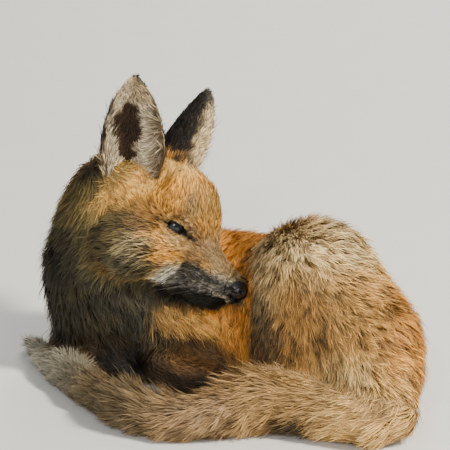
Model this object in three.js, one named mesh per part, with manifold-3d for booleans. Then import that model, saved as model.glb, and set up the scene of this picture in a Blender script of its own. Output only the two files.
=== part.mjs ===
// A red fox cub, life size, lying curled on its folded legs with the tail brought round in front and the
// head raised and turned to its left, over the curl. Lengths are in millimetres. +Z is up, the curl
// opens towards -Y, the chest is at -X and the rump at +X, and the origin is on the floor under the
// middle of the animal.
//
// Every piece of flesh is a smooth field, negative inside the coat and positive outside it, made of
// tapered bones and eggs melted together. The outline is the coat's, out to the hair tips.
import * as THREE from "three";
import { mergeVertices } from "three/addons/utils/BufferGeometryUtils.js";
import Module from "manifold-3d";

const wasm = await Module();
wasm.setup();

const v = (x, y, z) => new THREE.Vector3(x, y, z);
const at = (x, y, z, r) => ({ at: v(x, y, z), r }); // a ball: where it sits and its radius

// ---------------------------------------------------------------- driving sizes
const GAP = 0.3; // left between two neighbouring pieces
const TRUNK_CELL = 13; // grid of the trunk's mesh
const FACET = 0.16; // how far a facet may be from the surface it is cut from
const HEAD_RINGS = 21;
const HEAD_SIDES = 20;

// The body, from the seat round to the chest.
const TRUNK = [
  at(106, 40, 34, 30),
  at(98, 62, 54, 38),
  at(62, 100, 86, 43),
  at(44, 138, 62, 42),
  at(6, 172, 48, 46),
  at(-44, 184, 50, 43),
  at(-84, 166, 58, 40),
];
const BELLY = [at(-86, 162, 40, 34), at(-30, 158, 36, 36), at(28, 132, 32, 32)];
const NECK = [at(-88, 162, 74, 39), at(-82, 166, 100, 37), at(-76, 170, 124, 35)];
const LEFT_THIGH = [at(58, 86, 84, 38), at(48, 78, 48, 32)];
const RIGHT_THIGH = [at(84, 102, 44, 36), at(50, 98, 28, 30)];
const LEFT_SHOULDER = [at(-44, 168, 60, 30), at(2, 146, 30, 20)];
const RIGHT_SHOULDER = [at(-92, 188, 54, 30), at(-104, 178, 28, 20)];

// The limbs below them, and the tail, which lies on the floor.
const LEFT_FOREARM = [at(8, 138, 23, 16), at(-24, 132, 21, 15), at(-46, 121, 19, 15)];
const LEFT_FOREPAW = [at(-46, 118, 16, 14.5), at(-26, 109, 13, 13.5), at(-8, 105, 9.5, 10.5)];
const RIGHT_FOREARM = [at(-108, 168, 24, 16), at(-106, 142, 14, 13)];
const RIGHT_FOREPAW = [at(-102, 138, 13, 13), at(-82, 129, 11, 12), at(-66, 124, 9, 10)];
const LEFT_FOOT = [at(84, 46, 17, 15), at(50, 57, 13, 13), at(20, 66, 9.5, 11)];
const RIGHT_FOOT = [at(70, 90, 16, 14), at(42, 93, 13, 13), at(17, 95, 9.5, 11)];
const TAIL = [
  at(113, 24, 22, 20),
  at(95, 20, 18.5, 19),
  at(64, 36, 18.5, 19.5),
  at(32, 47, 19.5, 20.5),
  at(2, 38, 16, 17),
  at(-24, 27, 13.5, 14.5),
  at(-48, 30, 12.5, 13.5),
  at(-70, 52, 12.3, 13),
  at(-92, 86, 12, 12.5),
  at(-116, 130, 10.5, 11),
  at(-138, 186, 6, 6.5),
];

// The head in its own frame: x forward, y to the cub's left, z up, from the middle of the skull.
const HEAD = { middle: v(-50, 155, 112), yaw: -38, pitch: 7, roll: -16 };
const EYE = { at: v(27.5, 13.5, 4.5), r: 7.6, facing: v(0.72, 0.69, 0.05) };
const NOSE = { at: v(81, 0, -23.5), half: v(7, 7, 7) };
const EAR = { width: 49, cup: 17, thick: 2.6 };
const LEFT_EAR_BASE = v(-9, 23, 29);
const LEFT_EAR_TIP = v(-7, 40, 93);
const LEFT_EAR_OPENING = v(0.3, 0.94, 0.1);
const RIGHT_EAR_BASE = v(-10, -26, 30);
const RIGHT_EAR_TIP = v(-19, -40, 98);
const RIGHT_EAR_OPENING = v(0.5, -0.86, 0.1);

// ---------------------------------------------------------------- fields
// A bone thickened from radius a.r at one end to b.r at the other.
const bone = (a, b) => {
  const along = b.at.clone().sub(a.at);
  const length2 = along.lengthSq();
  const toPoint = v(0, 0, 0);
  return (p) => {
    toPoint.copy(p).sub(a.at);
    const t = THREE.MathUtils.clamp(toPoint.dot(along) / length2, 0, 1);
    return toPoint.addScaledVector(along, -t).length() - THREE.MathUtils.lerp(a.r, b.r, t);
  };
};

// An egg of three half-widths along the axes it is given in.
const egg = (at, half) => (p) => {
  const x = (p.x - at.x) / half.x;
  const y = (p.y - at.y) / half.y;
  const z = (p.z - at.z) / half.z;
  return (Math.hypot(x, y, z) - 1) * Math.min(half.x, half.y, half.z);
};

// Several fields melted together over a distance of about soft.
const blend = (soft, ...fields) => (p) =>
  -soft * Math.log(fields.reduce((sum, f) => sum + Math.exp(-f(p) / soft), 0));

const chain = (links) => blend(2.5, ...links.slice(1).map((link, i) => bone(links[i], link)));

// ---------------------------------------------------------------- meshing
const solidFrom = (positions, triangles) =>
  new wasm.Manifold(
    new wasm.Mesh({
      numProp: 3,
      vertProperties: new Float32Array(positions),
      triVerts: new Uint32Array(triangles),
    }),
  );

// A three.js geometry as a solid.
const solidOf = (geometry) => {
  const bare = geometry.clone();
  bare.deleteAttribute("normal");
  bare.deleteAttribute("uv");
  const merged = mergeVertices(bare, 1e-4);
  return solidFrom(merged.attributes.position.array, merged.index.array);
};

// The zero surface of a field inside a box, as a closed mesh with one vertex in each grid cell that
// the surface crosses and one four-sided face round each grid edge that it cuts.
const netted = (field, box, cell) => {
  const size = box.getSize(v(0, 0, 0)).divideScalar(cell).ceil().addScalar(1);
  const [nx, ny, nz] = [size.x, size.y, size.z];
  const corner = (i, j, k) => v(i, j, k).multiplyScalar(cell).add(box.min);
  const index = (i, j, k) => i + nx * (j + ny * k);
  const value = new Float64Array(nx * ny * nz);
  for (let k = 0; k < nz; k++)
    for (let j = 0; j < ny; j++)
      for (let i = 0; i < nx; i++) value[index(i, j, k)] = field(corner(i, j, k));
  const inside = (i, j, k) => value[index(i, j, k)] < 0;

  const positions = [];
  const cellVertex = new Map();
  const vertexOf = (i, j, k) => {
    const key = index(i, j, k);
    if (cellVertex.has(key)) return cellVertex.get(key);
    const sum = v(0, 0, 0);
    let crossings = 0;
    for (let a = 0; a < 8; a++)
      for (const bit of [1, 2, 4]) {
        if (a & bit) continue;
        const b = a | bit;
        const ca = [i + (a & 1), j + ((a >> 1) & 1), k + (a >> 2)];
        const cb = [i + (b & 1), j + ((b >> 1) & 1), k + (b >> 2)];
        const va = value[index(...ca)];
        const vb = value[index(...cb)];
        if (va < 0 === vb < 0) continue;
        sum.add(corner(...ca).lerp(corner(...cb), va / (va - vb)));
        crossings++;
      }
    const p = sum.divideScalar(crossings);
    positions.push(p.x, p.y, p.z);
    cellVertex.set(key, positions.length / 3 - 1);
    return cellVertex.get(key);
  };

  const triangles = [];
  const step = [
    [1, 0, 0],
    [0, 1, 0],
    [0, 0, 1],
  ];
  for (let k = 1; k < nz - 1; k++)
    for (let j = 1; j < ny - 1; j++)
      for (let i = 1; i < nx - 1; i++)
        for (let axis = 0; axis < 3; axis++) {
          const [dx, dy, dz] = step[axis];
          const here = inside(i, j, k);
          if (here === inside(i + dx, j + dy, k + dz)) continue;
          const [ux, uy, uz] = step[(axis + 1) % 3];
          const [wx, wy, wz] = step[(axis + 2) % 3];
          const quad = [
            vertexOf(i, j, k),
            vertexOf(i - ux, j - uy, k - uz),
            vertexOf(i - ux - wx, j - uy - wy, k - uz - wz),
            vertexOf(i - wx, j - wy, k - wz),
          ];
          if (!here) quad.reverse();
          const vertex = (q) => v(...positions.slice(3 * quad[q], 3 * quad[q] + 3));
          if (vertex(0).distanceTo(vertex(2)) > vertex(1).distanceTo(vertex(3))) quad.push(quad.shift());
          triangles.push(quad[0], quad[1], quad[2], quad[0], quad[2], quad[3]);
        }
  return solidFrom(positions, triangles);
};

// How far the field's surface is from a point inside it, in a direction.
const reach = (field, from, direction, most = 200) => {
  const p = v(0, 0, 0);
  let far = 0;
  while (far < most && field(p.copy(from).addScaledVector(direction, far)) < 0) far += 1.5;
  let near = Math.max(far - 1.5, 0);
  for (let i = 0; i < 12; i++) {
    const middle = (near + far) / 2;
    if (field(p.copy(from).addScaledVector(direction, middle)) < 0) near = middle;
    else far = middle;
  }
  return near;
};

// The zero surface of a field round a line of points, as rings of a given number of sides drawn where
// rays from the line meet the surface, closed by a point at each end, and everywhere moved out by by.
const ringed = (field, line, rings, sides, by) => {
  const first = line[0].clone().sub(line[1]).normalize();
  const last = line.at(-1).clone().sub(line.at(-2)).normalize();
  const start = line[0].clone().addScaledVector(first, reach(field, line[0], first));
  const end = line.at(-1).clone().addScaledVector(last, reach(field, line.at(-1), last));
  const curve = new THREE.CatmullRomCurve3([start, ...line, end], false, "centripetal");
  curve.arcLengthDivisions = 400;
  const positions = [...start.clone().addScaledVector(first, by).toArray()];
  for (let i = 1; i <= rings; i++) {
    const t = i / (rings + 1);
    const eased = THREE.MathUtils.lerp(t, (1 - Math.cos(Math.PI * t)) / 2, 0.75);
    const centre = curve.getPointAt(eased);
    const ahead = curve.getTangentAt(eased);
    const side = v(0, 0, 0).crossVectors(v(0, 0, 1), ahead).normalize();
    const top = v(0, 0, 0).crossVectors(ahead, side);
    for (let s = 0; s < sides; s++) {
      const angle = (2 * Math.PI * (s + 0.5)) / sides;
      const ray = v(0, 0, 0).addScaledVector(side, Math.cos(angle)).addScaledVector(top, Math.sin(angle));
      const out = reach(field, centre, ray) + by;
      positions.push(...centre.clone().addScaledVector(ray, out).toArray());
    }
  }
  positions.push(...end.clone().addScaledVector(last, by).toArray());
  const ring = (i, s) => 1 + i * sides + (s % sides);
  const tip = positions.length / 3 - 1;
  const triangles = [];
  for (let s = 0; s < sides; s++) {
    triangles.push(0, ring(0, s + 1), ring(0, s));
    triangles.push(tip, ring(rings - 1, s), ring(rings - 1, s + 1));
    for (let i = 0; i < rings - 1; i++) {
      triangles.push(ring(i, s), ring(i, s + 1), ring(i + 1, s));
      triangles.push(ring(i, s + 1), ring(i + 1, s + 1), ring(i + 1, s));
    }
  }
  return solidFrom(positions, triangles);
};

// A solid parted by a plane through a place, facing a way: the half on that side and the other half.
const parted = (solid, where, facing) => {
  const normal = facing.clone().normalize();
  const offset = normal.dot(where);
  return [
    solid.trimByPlane(normal.toArray(), offset + GAP / 2),
    solid.trimByPlane(normal.clone().negate().toArray(), GAP / 2 - offset),
  ];
};

// ---------------------------------------------------------------- the head
const headFrame = new THREE.Matrix4().makeRotationFromEuler(
  new THREE.Euler(
    THREE.MathUtils.degToRad(HEAD.roll),
    THREE.MathUtils.degToRad(HEAD.pitch),
    THREE.MathUtils.degToRad(HEAD.yaw),
    "ZYX",
  ),
);
headFrame.setPosition(HEAD.middle);

const skull = blend(
  3.5,
  egg(v(-9, 0, 8), v(39, 36, 34)), // braincase
  egg(v(15, 0, 17), v(32, 30, 26)), // forehead
  egg(v(32, 10, 8), v(15, 11, 13)), // brows
  egg(v(32, -10, 8), v(15, 11, 13)),
  egg(v(2, 27, -18), v(32, 20, 24)), // cheeks
  egg(v(2, -27, -18), v(32, 20, 24)),
  bone(at(38, 0, -9, 18), at(75, 0, -23, 8.5)), // muzzle
  bone(at(56, 6, -23, 9), at(76, 4, -25, 6.5)), // lips
  bone(at(56, -6, -23, 9), at(76, -4, -25, 6.5)),
  bone(at(8, 0, -28, 18), at(66, 0, -37, 7)), // lower jaw
);
const headLine = [v(-14, 0, 0), v(10, 0, -2), v(34, 0, -10), v(56, 0, -20), v(70, 0, -26)];
const headSolid = (by) => {
  const sockets = [1, -1].map((side) => {
    const { x, y, z } = EYE.at.clone().addScaledVector(EYE.facing, 14);
    return solidOf(new THREE.SphereGeometry(9 - by, 10, 7).translate(x, side * y, z));
  });
  return ringed(skull, headLine, HEAD_RINGS, HEAD_SIDES, by).subtract(
    wasm.Manifold.union(sockets),
  );
};

const eyeSolid = (side, by) =>
  solidOf(
    new THREE.SphereGeometry(EYE.r + by, 12, 8).translate(EYE.at.x, side * EYE.at.y, EYE.at.z),
  );
const noseSolid = (by) =>
  solidOf(
    new THREE.SphereGeometry(1, 12, 8)
      .scale(NOSE.half.x + by, NOSE.half.y + by, NOSE.half.z + by)
      .translate(NOSE.at.x, NOSE.at.y, NOSE.at.z),
  );

// An ear: a leaf, cupped towards its opening, that springs from the head at base and ends at tip.
const earSolid = (base, tip, opening, by) => {
  const axis = tip.clone().sub(base).normalize();
  const height = tip.distanceTo(base);
  const across = v(0, 0, 0).crossVectors(axis, opening).normalize();
  const front = v(0, 0, 0).crossVectors(across, axis);
  const rows = 9;
  const columns = 8;
  const point = (s, t, skin) => {
    const half = (EAR.width / 2) * Math.pow(1 - Math.pow(Math.max(s, 0), 2.6), 0.62) * (1 - 0.12 * s);
    const bend = THREE.MathUtils.lerp(1.35, 0.6, s);
    const cup = EAR.cup * (1 - 0.75 * s) + 1;
    const lift = (Math.cos(bend * t) - Math.cos(bend)) / (1 - Math.cos(bend));
    const thick = (EAR.thick / 2) * (0.55 + 0.45 * lift) + by;
    return base
      .clone()
      .addScaledVector(axis, s * (height - EAR.thick) + EAR.thick * 0.2)
      .addScaledVector(across, (half * Math.sin(bend * t)) / Math.sin(bend))
      .addScaledVector(front, -cup * lift + skin * thick);
  };
  const positions = [];
  for (const skin of [1, -1])
    for (let i = 0; i <= rows; i++)
      for (let j = 0; j <= columns; j++) {
        const s = -0.28 + 1.27 * (1 - Math.pow(1 - i / rows, 1.25));
        positions.push(...point(s, (2 * j) / columns - 1, skin).toArray());
      }
  const id = (face, i, j) => face * (rows + 1) * (columns + 1) + i * (columns + 1) + j;
  const triangles = [];
  const quad = (a, b, c, d) => triangles.push(a, b, c, a, c, d);
  for (let i = 0; i < rows; i++)
    for (let j = 0; j < columns; j++) {
      quad(id(0, i, j), id(0, i, j + 1), id(0, i + 1, j + 1), id(0, i + 1, j));
      quad(id(1, i, j), id(1, i + 1, j), id(1, i + 1, j + 1), id(1, i, j + 1));
    }
  for (let i = 0; i < rows; i++) {
    quad(id(0, i, 0), id(0, i + 1, 0), id(1, i + 1, 0), id(1, i, 0));
    quad(id(0, i, columns), id(1, i, columns), id(1, i + 1, columns), id(0, i + 1, columns));
  }
  for (let j = 0; j < columns; j++) {
    quad(id(0, 0, j), id(1, 0, j), id(1, 0, j + 1), id(0, 0, j + 1));
    quad(id(0, rows, j), id(0, rows, j + 1), id(1, rows, j + 1), id(1, rows, j));
  }
  return solidFrom(positions, triangles);
};

// ---------------------------------------------------------------- the whole animal
const flesh = blend(
  5,
  ...[TRUNK, BELLY, NECK, LEFT_THIGH, RIGHT_THIGH, LEFT_SHOULDER, RIGHT_SHOULDER].map(chain),
);
const limb = (links, rings, sides) => (by) =>
  ringed(chain(links), links.map((link) => link.at), rings, sides, by);

const COAT = { orange: 0xb9783a, rump: 0xa88a5e, tail: 0x8f7758, dark: 0x3a2c22, ear: 0x6b5340 };
const BLACK = 0x0d0b0a;

const group = new THREE.Group();
const taken = []; // what stands already, each piece a little too big

// A node of what is left of a solid above the floor and clear of everything that stands already.
const addNode = (name, solid, color, roughness = 0.9) => {
  const left = solid.subtract(wasm.Manifold.union(taken)).trimByPlane([0, 0, 1], 0);
  const lumps = left.simplify(FACET).decompose().sort((a, b) => b.volume() - a.volume());
  const mesh = lumps[0].getMesh();
  const geometry = new THREE.BufferGeometry();
  geometry.setAttribute("position", new THREE.BufferAttribute(mesh.vertProperties, 3));
  geometry.setIndex(new THREE.BufferAttribute(mesh.triVerts, 1));
  geometry.computeVertexNormals();
  const node = new THREE.Mesh(
    geometry,
    new THREE.MeshStandardMaterial({ color, roughness, metalness: 0 }),
  );
  node.name = name;
  group.add(node);
};

// A piece that is made on its own, and that whatever comes after it makes room for.
const place = (name, make, color, roughness) => {
  addNode(name, make(0), color, roughness);
  taken.push(make(GAP));
};

const onHead = (make) => (by) => make(by).transform(headFrame.elements);
place("nose", onHead(noseSolid), BLACK, 0.35);
place("eye_left", onHead((by) => eyeSolid(1, by)), BLACK, 0.08);
place("eye_right", onHead((by) => eyeSolid(-1, by)), BLACK, 0.08);
place("head", onHead(headSolid), COAT.orange);
place("ear_left", onHead((by) => earSolid(LEFT_EAR_BASE, LEFT_EAR_TIP, LEFT_EAR_OPENING, by)), COAT.ear);
place(
  "ear_right",
  onHead((by) => earSolid(RIGHT_EAR_BASE, RIGHT_EAR_TIP, RIGHT_EAR_OPENING, by)),
  COAT.ear,
);
const tail = limb(TAIL, 22, 12);
const [tailBase, tailRest] = parted(tail(0), v(46, 44, 10), v(1, -0.35, 0));
const [tailMiddle, tailTip] = parted(tailRest, v(-72, 55, 10), v(0.6, -0.8, 0));
addNode("tail_base", tailBase, COAT.tail);
addNode("tail_middle", tailMiddle, COAT.tail);
addNode("tail_tip", tailTip, COAT.tail);
taken.push(tail(GAP));
place("forepaw_left", limb(LEFT_FOREPAW, 7, 10), COAT.dark);
place("forepaw_right", limb(RIGHT_FOREPAW, 7, 10), COAT.dark);
place("hindpaw_left", limb(LEFT_FOOT, 6, 9), COAT.dark);
place("hindpaw_right", limb(RIGHT_FOOT, 6, 9), COAT.dark);
place("foreleg_left", limb(LEFT_FOREARM, 7, 10), COAT.dark);
place("foreleg_right", limb(RIGHT_FOREARM, 7, 10), COAT.dark);

const body = netted(flesh, new THREE.Box3(v(-150, -30, -22), v(170, 260, 200)), TRUNK_CELL);
const [behind, front] = parted(body, v(-18, 176, 50), v(1, -0.25, 0));
const [neck, chest] = parted(front, v(-80, 168, 83), v(-0.33, 0, 0.94));
const [quarters, belly] = parted(behind, v(28, 152, 50), v(0.75, -0.66, 0));
const [leftLeg, rump] = parted(quarters, v(47, 90, 50), v(-0.81, -0.58, 0));
const [hindquarters, rightLeg] = parted(rump, v(80, 90, 36), v(0, 0, 1));
addNode("neck", neck, COAT.orange);
addNode("chest", chest, COAT.orange);
addNode("belly", belly, COAT.orange);
addNode("hindquarters", hindquarters, COAT.rump);
addNode("hindleg_left", leftLeg, COAT.rump);
addNode("hindleg_right", rightLeg, COAT.rump);

// The origin comes to the floor under the middle.
const box = new THREE.Box3().setFromObject(group);
const middle = box.getCenter(v(0, 0, 0));
for (const node of group.children) node.geometry.translate(-middle.x, -middle.y, -box.min.z);

export default group;
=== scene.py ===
"""A red fox cub lying curled, life size, with a solid coat of tufts.

The frame gives the shape out to the hair tips. The skin is that shape made smooth and sunk by the depth of
the coat, and the coat stands on it. Meshes are in metres. Settings, and places in the head's own frame, are
in mm. The lift of hair is set in degrees, and all other angles are in radians.
"""

import functools
import math
from collections import namedtuple

import bpy
import numpy as np
from bpy.props import EnumProperty, FloatProperty, FloatVectorProperty, PointerProperty
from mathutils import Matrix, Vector
from mathutils.bvhtree import BVHTree


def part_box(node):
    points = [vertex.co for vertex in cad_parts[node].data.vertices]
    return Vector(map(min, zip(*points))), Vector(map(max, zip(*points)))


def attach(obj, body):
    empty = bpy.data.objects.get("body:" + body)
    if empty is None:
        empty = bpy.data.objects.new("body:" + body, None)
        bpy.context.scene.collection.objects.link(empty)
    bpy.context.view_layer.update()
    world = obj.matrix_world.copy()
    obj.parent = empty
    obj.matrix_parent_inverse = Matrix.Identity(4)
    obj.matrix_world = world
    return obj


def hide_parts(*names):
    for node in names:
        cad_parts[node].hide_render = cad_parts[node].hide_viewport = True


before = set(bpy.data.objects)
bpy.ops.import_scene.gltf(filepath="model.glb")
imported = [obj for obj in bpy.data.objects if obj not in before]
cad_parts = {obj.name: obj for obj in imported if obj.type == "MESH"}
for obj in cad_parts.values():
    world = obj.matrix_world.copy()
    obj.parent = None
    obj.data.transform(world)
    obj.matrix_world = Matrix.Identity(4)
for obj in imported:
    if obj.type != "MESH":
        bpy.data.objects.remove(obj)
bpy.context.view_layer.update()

MM = 0.001

bl_info = {
    "name": "Red fox cub",
    "version": (1, 0, 0),
    "blender": (4, 5, 0),
    "location": "View3D > Sidebar > Cub",
    "description": "A life-size fox cub with a solid coat, on a plain floor",
    "category": "Mesh",
}


# ---------------- the frame's places
def array(*values):
    return np.array(values, float)


def unit(vectors):
    """Vectors made one long."""
    return vectors / np.maximum(np.linalg.norm(vectors, axis=-1, keepdims=True), 1e-12)


def dot(a, b):
    """The dot product of each pair of vectors."""
    return (a * b).sum(-1)


def folded(points):
    """Places of both halves of the face mirrored on to its left half."""
    return np.stack([points[:, 0], np.abs(points[:, 1]), points[:, 2]], 1)


def middle(node):
    """The middle of a node's box."""
    low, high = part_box(node)
    return np.array((low + high) / 2)


class Head:
    """The head's own frame, found from its eyes and nose: forward, left and up."""

    eye = array(27.5, 13.5, 4.5)  # where the left eye and the nose are in it, in mm
    nose = array(81, 0, -23.5)

    def __init__(self):
        left, right, nose = middle("eye_left"), middle("eye_right"), middle("nose")
        between = (left + right) / 2
        self.left = unit(left - right)
        ahead = unit(nose - between)
        above = np.cross(ahead, self.left)
        eye, tip = self.eye * MM, self.nose * MM
        drop = math.atan2(tip[2] - eye[2], tip[0] - eye[0])
        self.forward = math.cos(drop) * ahead - math.sin(drop) * above
        self.up = math.sin(drop) * ahead + math.cos(drop) * above
        self.turn = np.stack([self.forward, self.left, self.up])
        self.origin = between - eye[0] * self.forward - eye[2] * self.up

    def local(self, points):
        """Points in the head's frame."""
        return (points - self.origin) @ self.turn.T

    def world(self, points):
        """Points given in the head's frame, in the row frame."""
        return self.origin + np.asarray(points) @ self.turn

    def away(self, vectors):
        """Directions given in the head's frame, in the row frame."""
        return np.asarray(vectors) @ self.turn


head = Head()

EARS = ("ear_left", "ear_right")
LEGS = ("foreleg_left", "foreleg_right")
FOREPAWS = ("forepaw_left", "forepaw_right")
HINDPAWS = ("hindpaw_left", "hindpaw_right")
TAIL = ("tail_base", "tail_middle", "tail_tip")
TRUNK = ("neck", "chest", "belly", "hindquarters", "hindleg_left", "hindleg_right")
FLESH = ("head",) + TRUNK + LEGS + FOREPAWS + HINDPAWS + TAIL

# What a vertex of the hide belongs to.
BODY, LID, LEFT_EAR, RIGHT_EAR = range(4)


# ---------------- meshes as arrays
def mesh_arrays(mesh):
    """Vertex places and triangles of a mesh."""
    points = np.zeros(len(mesh.vertices) * 3, np.float32)
    mesh.vertices.foreach_get("co", points)
    mesh.calc_loop_triangles()
    triangles = np.zeros(len(mesh.loop_triangles) * 3, np.int32)
    mesh.loop_triangles.foreach_get("vertices", triangles)
    return points.reshape(-1, 3).astype(float), triangles.reshape(-1, 3)


def node_mesh(node):
    """Vertex places and triangles of one node of the frame."""
    return mesh_arrays(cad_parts[node].data)


def vertex_normals(points, triangles):
    """The direction in which the surface faces at each vertex."""
    a, b, c = (points[triangles[:, k]] for k in range(3))
    facing = np.cross(b - a, c - a)
    total = np.zeros_like(points)
    for k in range(3):
        for axis in range(3):
            total[:, axis] += np.bincount(triangles[:, k], facing[:, axis], len(points))
    return unit(total)


def edges_of(faces):
    """Each edge once, as two columns of vertex numbers."""
    sides = faces.shape[1]
    pairs = np.concatenate([faces[:, [k, (k + 1) % sides]] for k in range(sides)])
    return np.unique(np.sort(pairs, 1), axis=0)


def spread(values, edges, rounds, share=0.5, mask=None):
    """Values evened out over the surface, by moving each towards the mean of its neighbours."""
    values = np.asarray(values, float)
    flat = values.reshape(len(values), -1)
    a, b = edges.T
    count = np.bincount(a, minlength=len(flat)) + np.bincount(b, minlength=len(flat))
    amount = share if mask is None else (share * mask)[:, None]
    for _ in range(rounds):
        sums = [
            np.bincount(a, column[b], len(flat)) + np.bincount(b, column[a], len(flat))
            for column in flat.T
        ]
        flat = flat + amount * (np.stack(sums, 1) / np.maximum(count, 1)[:, None] - flat)
    return flat.reshape(values.shape)


def new_object(name, points, faces, material=None, smooth=True):
    """A mesh object from arrays. faces is a list of arrays, one for each number of sides."""
    mesh = bpy.data.meshes.new(name)
    faces = [np.asarray(f) for f in (faces if isinstance(faces, list) else [faces])]
    sizes = np.concatenate([np.full(len(f), f.shape[1]) for f in faces])
    corners = np.concatenate([f.ravel() for f in faces])
    mesh.vertices.add(len(points))
    mesh.vertices.foreach_set("co", np.asarray(points, np.float32).ravel())
    mesh.loops.add(len(corners))
    mesh.loops.foreach_set("vertex_index", corners.astype(np.int32))
    mesh.polygons.add(len(sizes))
    starts = np.concatenate([[0], np.cumsum(sizes)[:-1]])
    mesh.polygons.foreach_set("loop_start", starts.astype(np.int32))
    mesh.polygons.foreach_set("use_smooth", np.full(len(sizes), smooth))
    mesh.update(calc_edges=True)
    mesh.validate()
    obj = bpy.data.objects.new(name, mesh)
    bpy.context.scene.collection.objects.link(obj)
    if material:
        mesh.materials.append(material)
    return obj


def put(obj, name, values):
    """Stores one number, vector or colour for each vertex."""
    kinds = {1: ("FLOAT", "value"), 3: ("FLOAT_VECTOR", "vector"), 4: ("FLOAT_COLOR", "color")}
    values = np.asarray(values, np.float32)
    width = 1 if values.ndim == 1 else values.shape[1]
    kind, field = kinds[width]
    attribute = obj.data.attributes.new(name, kind, "POINT")
    attribute.data.foreach_set(field, values.ravel())


def remeshed(points, triangles, voxel):
    """The outer shell of closed pieces that run into each other, as an even net of four-sided faces."""
    obj = new_object("shell", points, triangles)
    change = obj.modifiers.new("net", "REMESH")
    change.mode = "VOXEL"
    change.voxel_size = voxel
    shell = obj.evaluated_get(bpy.context.evaluated_depsgraph_get()).to_mesh()
    net = np.zeros(len(shell.vertices) * 3, np.float32)
    shell.vertices.foreach_get("co", net)
    faces = np.zeros(len(shell.loops), np.int32)
    shell.loops.foreach_get("vertex_index", faces)
    bpy.data.objects.remove(obj)
    return net.reshape(-1, 3).astype(float), faces.reshape(-1, 4)


def as_triangles(quads):
    """Four-sided faces cut in two."""
    return np.concatenate([quads[:, [0, 1, 2]], quads[:, [0, 2, 3]]])


# ---------------- smooth masks
def ramp(values, low, high):
    """0 below low and 1 above high, with a soft step between."""
    t = np.clip((values - low) / (high - low), 0, 1)
    return t * t * (3 - 2 * t)


def blob(points, centre, half, soft=0.35):
    """1 inside an egg of three half-widths and 0 outside it, given in the points' own frame in mm."""
    reach = np.linalg.norm((points - array(*centre)) / array(*half), axis=1)
    return 1 - ramp(reach, 1 - soft, 1 + soft)


def near_line(points, start, end, radius):
    """1 within half the radius of the straight line between two places, 0 from half as much again on."""
    a, b = array(*start), array(*end)
    t = np.clip((points - a) @ (b - a) / dot(b - a, b - a), 0, 1)
    away = np.linalg.norm(points - a - t[:, None] * (b - a), axis=1)
    return 1 - ramp(away, radius * 0.5, radius * 1.5)


WAVES = 9


def wobble(points, size, seed):
    """Smooth noise from -1 to 1: plane waves of about the given size in random directions."""
    rng = np.random.default_rng(seed)
    total = np.zeros(len(points))
    for _ in range(WAVES):
        way = unit(rng.normal(size=3)) * rng.uniform(0.6, 1.5) * 2 * math.pi / size
        total += np.sin(points @ way + rng.uniform(0, 2 * math.pi))
    return np.clip(total / 3, -1, 1)


def cell_of(points, size, seed):
    """For each point, the nearest of many centres about size apart, and that centre's chance number.

    Each cell of a grid holds one centre. Its place and number are mixed from the cell's whole numbers, by
    multipliers that are large and odd.
    """
    best = np.full(len(points), np.inf)
    centre = np.zeros_like(points)
    number = np.zeros(len(points))
    home = np.floor(points / size).astype(np.int64)
    for step in np.ndindex(3, 3, 3):
        cell = home + (np.array(step) - 1)
        key = (cell[:, 0] * 73856093) ^ (cell[:, 1] * 19349663) ^ (cell[:, 2] * 83492791)
        key = (key + seed * 2654435761) & 0xFFFFFFFF
        chance = []
        for _ in range(4):  # three for the centre's place, and one for its number
            key = (key * 1664525 + 1013904223) & 0xFFFFFFFF
            key ^= key >> 15
            key = (key * 2246822519) & 0xFFFFFFFF
            key ^= key >> 13
            chance.append(key / 0xFFFFFFFF)
        spot = (cell + np.stack(chance[:3], 1)) * size
        away = np.linalg.norm(points - spot, axis=1)
        nearer = away < best
        best[nearer] = away[nearer]
        centre[nearer] = spot[nearer]
        number[nearer] = chance[3][nearer]
    return centre, number


# ---------------- the hide's settings, in mm
# How deep the skin lies under the hair tips, how long the hair is, how high it lifts at its root in
# degrees, how wide a tuft is, and how far apart the locks are.
Hair = namedtuple("Hair", "depth length lift width lock")
COAT = {
    "head": Hair(3.4, 7.5, 32, 0.46, 1.6),
    "neck": Hair(6.2, 17, 33, 0.54, 3.4),
    "chest": Hair(6.0, 16, 32, 0.54, 3.4),
    "belly": Hair(4.4, 13, 28, 0.5, 3.2),
    "hindleg_left": Hair(5.0, 13.5, 30, 0.5, 3.2),
    "hindquarters": Hair(5.2, 14, 31, 0.5, 3.2),
    "hindleg_right": Hair(4.4, 12, 28, 0.52, 3.0),
    "foreleg_left": Hair(3.2, 8, 24, 0.5, 2.4),
    "foreleg_right": Hair(3.2, 8, 24, 0.5, 2.4),
    "forepaw_left": Hair(2.4, 6, 22, 0.46, 2.0),
    "forepaw_right": Hair(2.4, 6, 22, 0.46, 2.0),
    "hindpaw_left": Hair(2.4, 6, 22, 0.46, 2.0),
    "hindpaw_right": Hair(2.4, 6, 22, 0.46, 2.0),
    "tail_base": Hair(4.4, 16, 24, 0.54, 3.2),
    "tail_middle": Hair(4.0, 15, 22, 0.54, 3.0),
    "tail_tip": Hair(2.8, 12, 18, 0.52, 2.8),
}
# The way in which the hair lies on each piece of the body but the head and the tail.
LIE = {
    "neck": (-0.2, 0.0, -1.0),
    "chest": (0.35, 0.0, -0.9),
    "belly": (0.75, -0.2, -0.6),
    "hindleg_left": (0.0, -0.25, -1.0),
    "hindquarters": (0.45, -0.35, -0.85),
    "hindleg_right": (-0.3, -0.2, -0.9),
    "foreleg_left": (-0.95, -0.3, -0.1),
    "foreleg_right": (0.0, -0.95, -0.3),
    "forepaw_left": (0.93, -0.3, -0.15),
    "forepaw_right": (0.93, -0.35, -0.1),
    "hindpaw_left": (-0.95, 0.3, -0.1),
    "hindpaw_right": (-0.98, 0.1, -0.1),
}
SKIN_CELL = 2.1 * MM
EAR_CELL = 0.95 * MM
SEAM = 0.4 * MM  # grown on to each piece, so that neighbours run together
SINK_STEPS = 5

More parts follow.
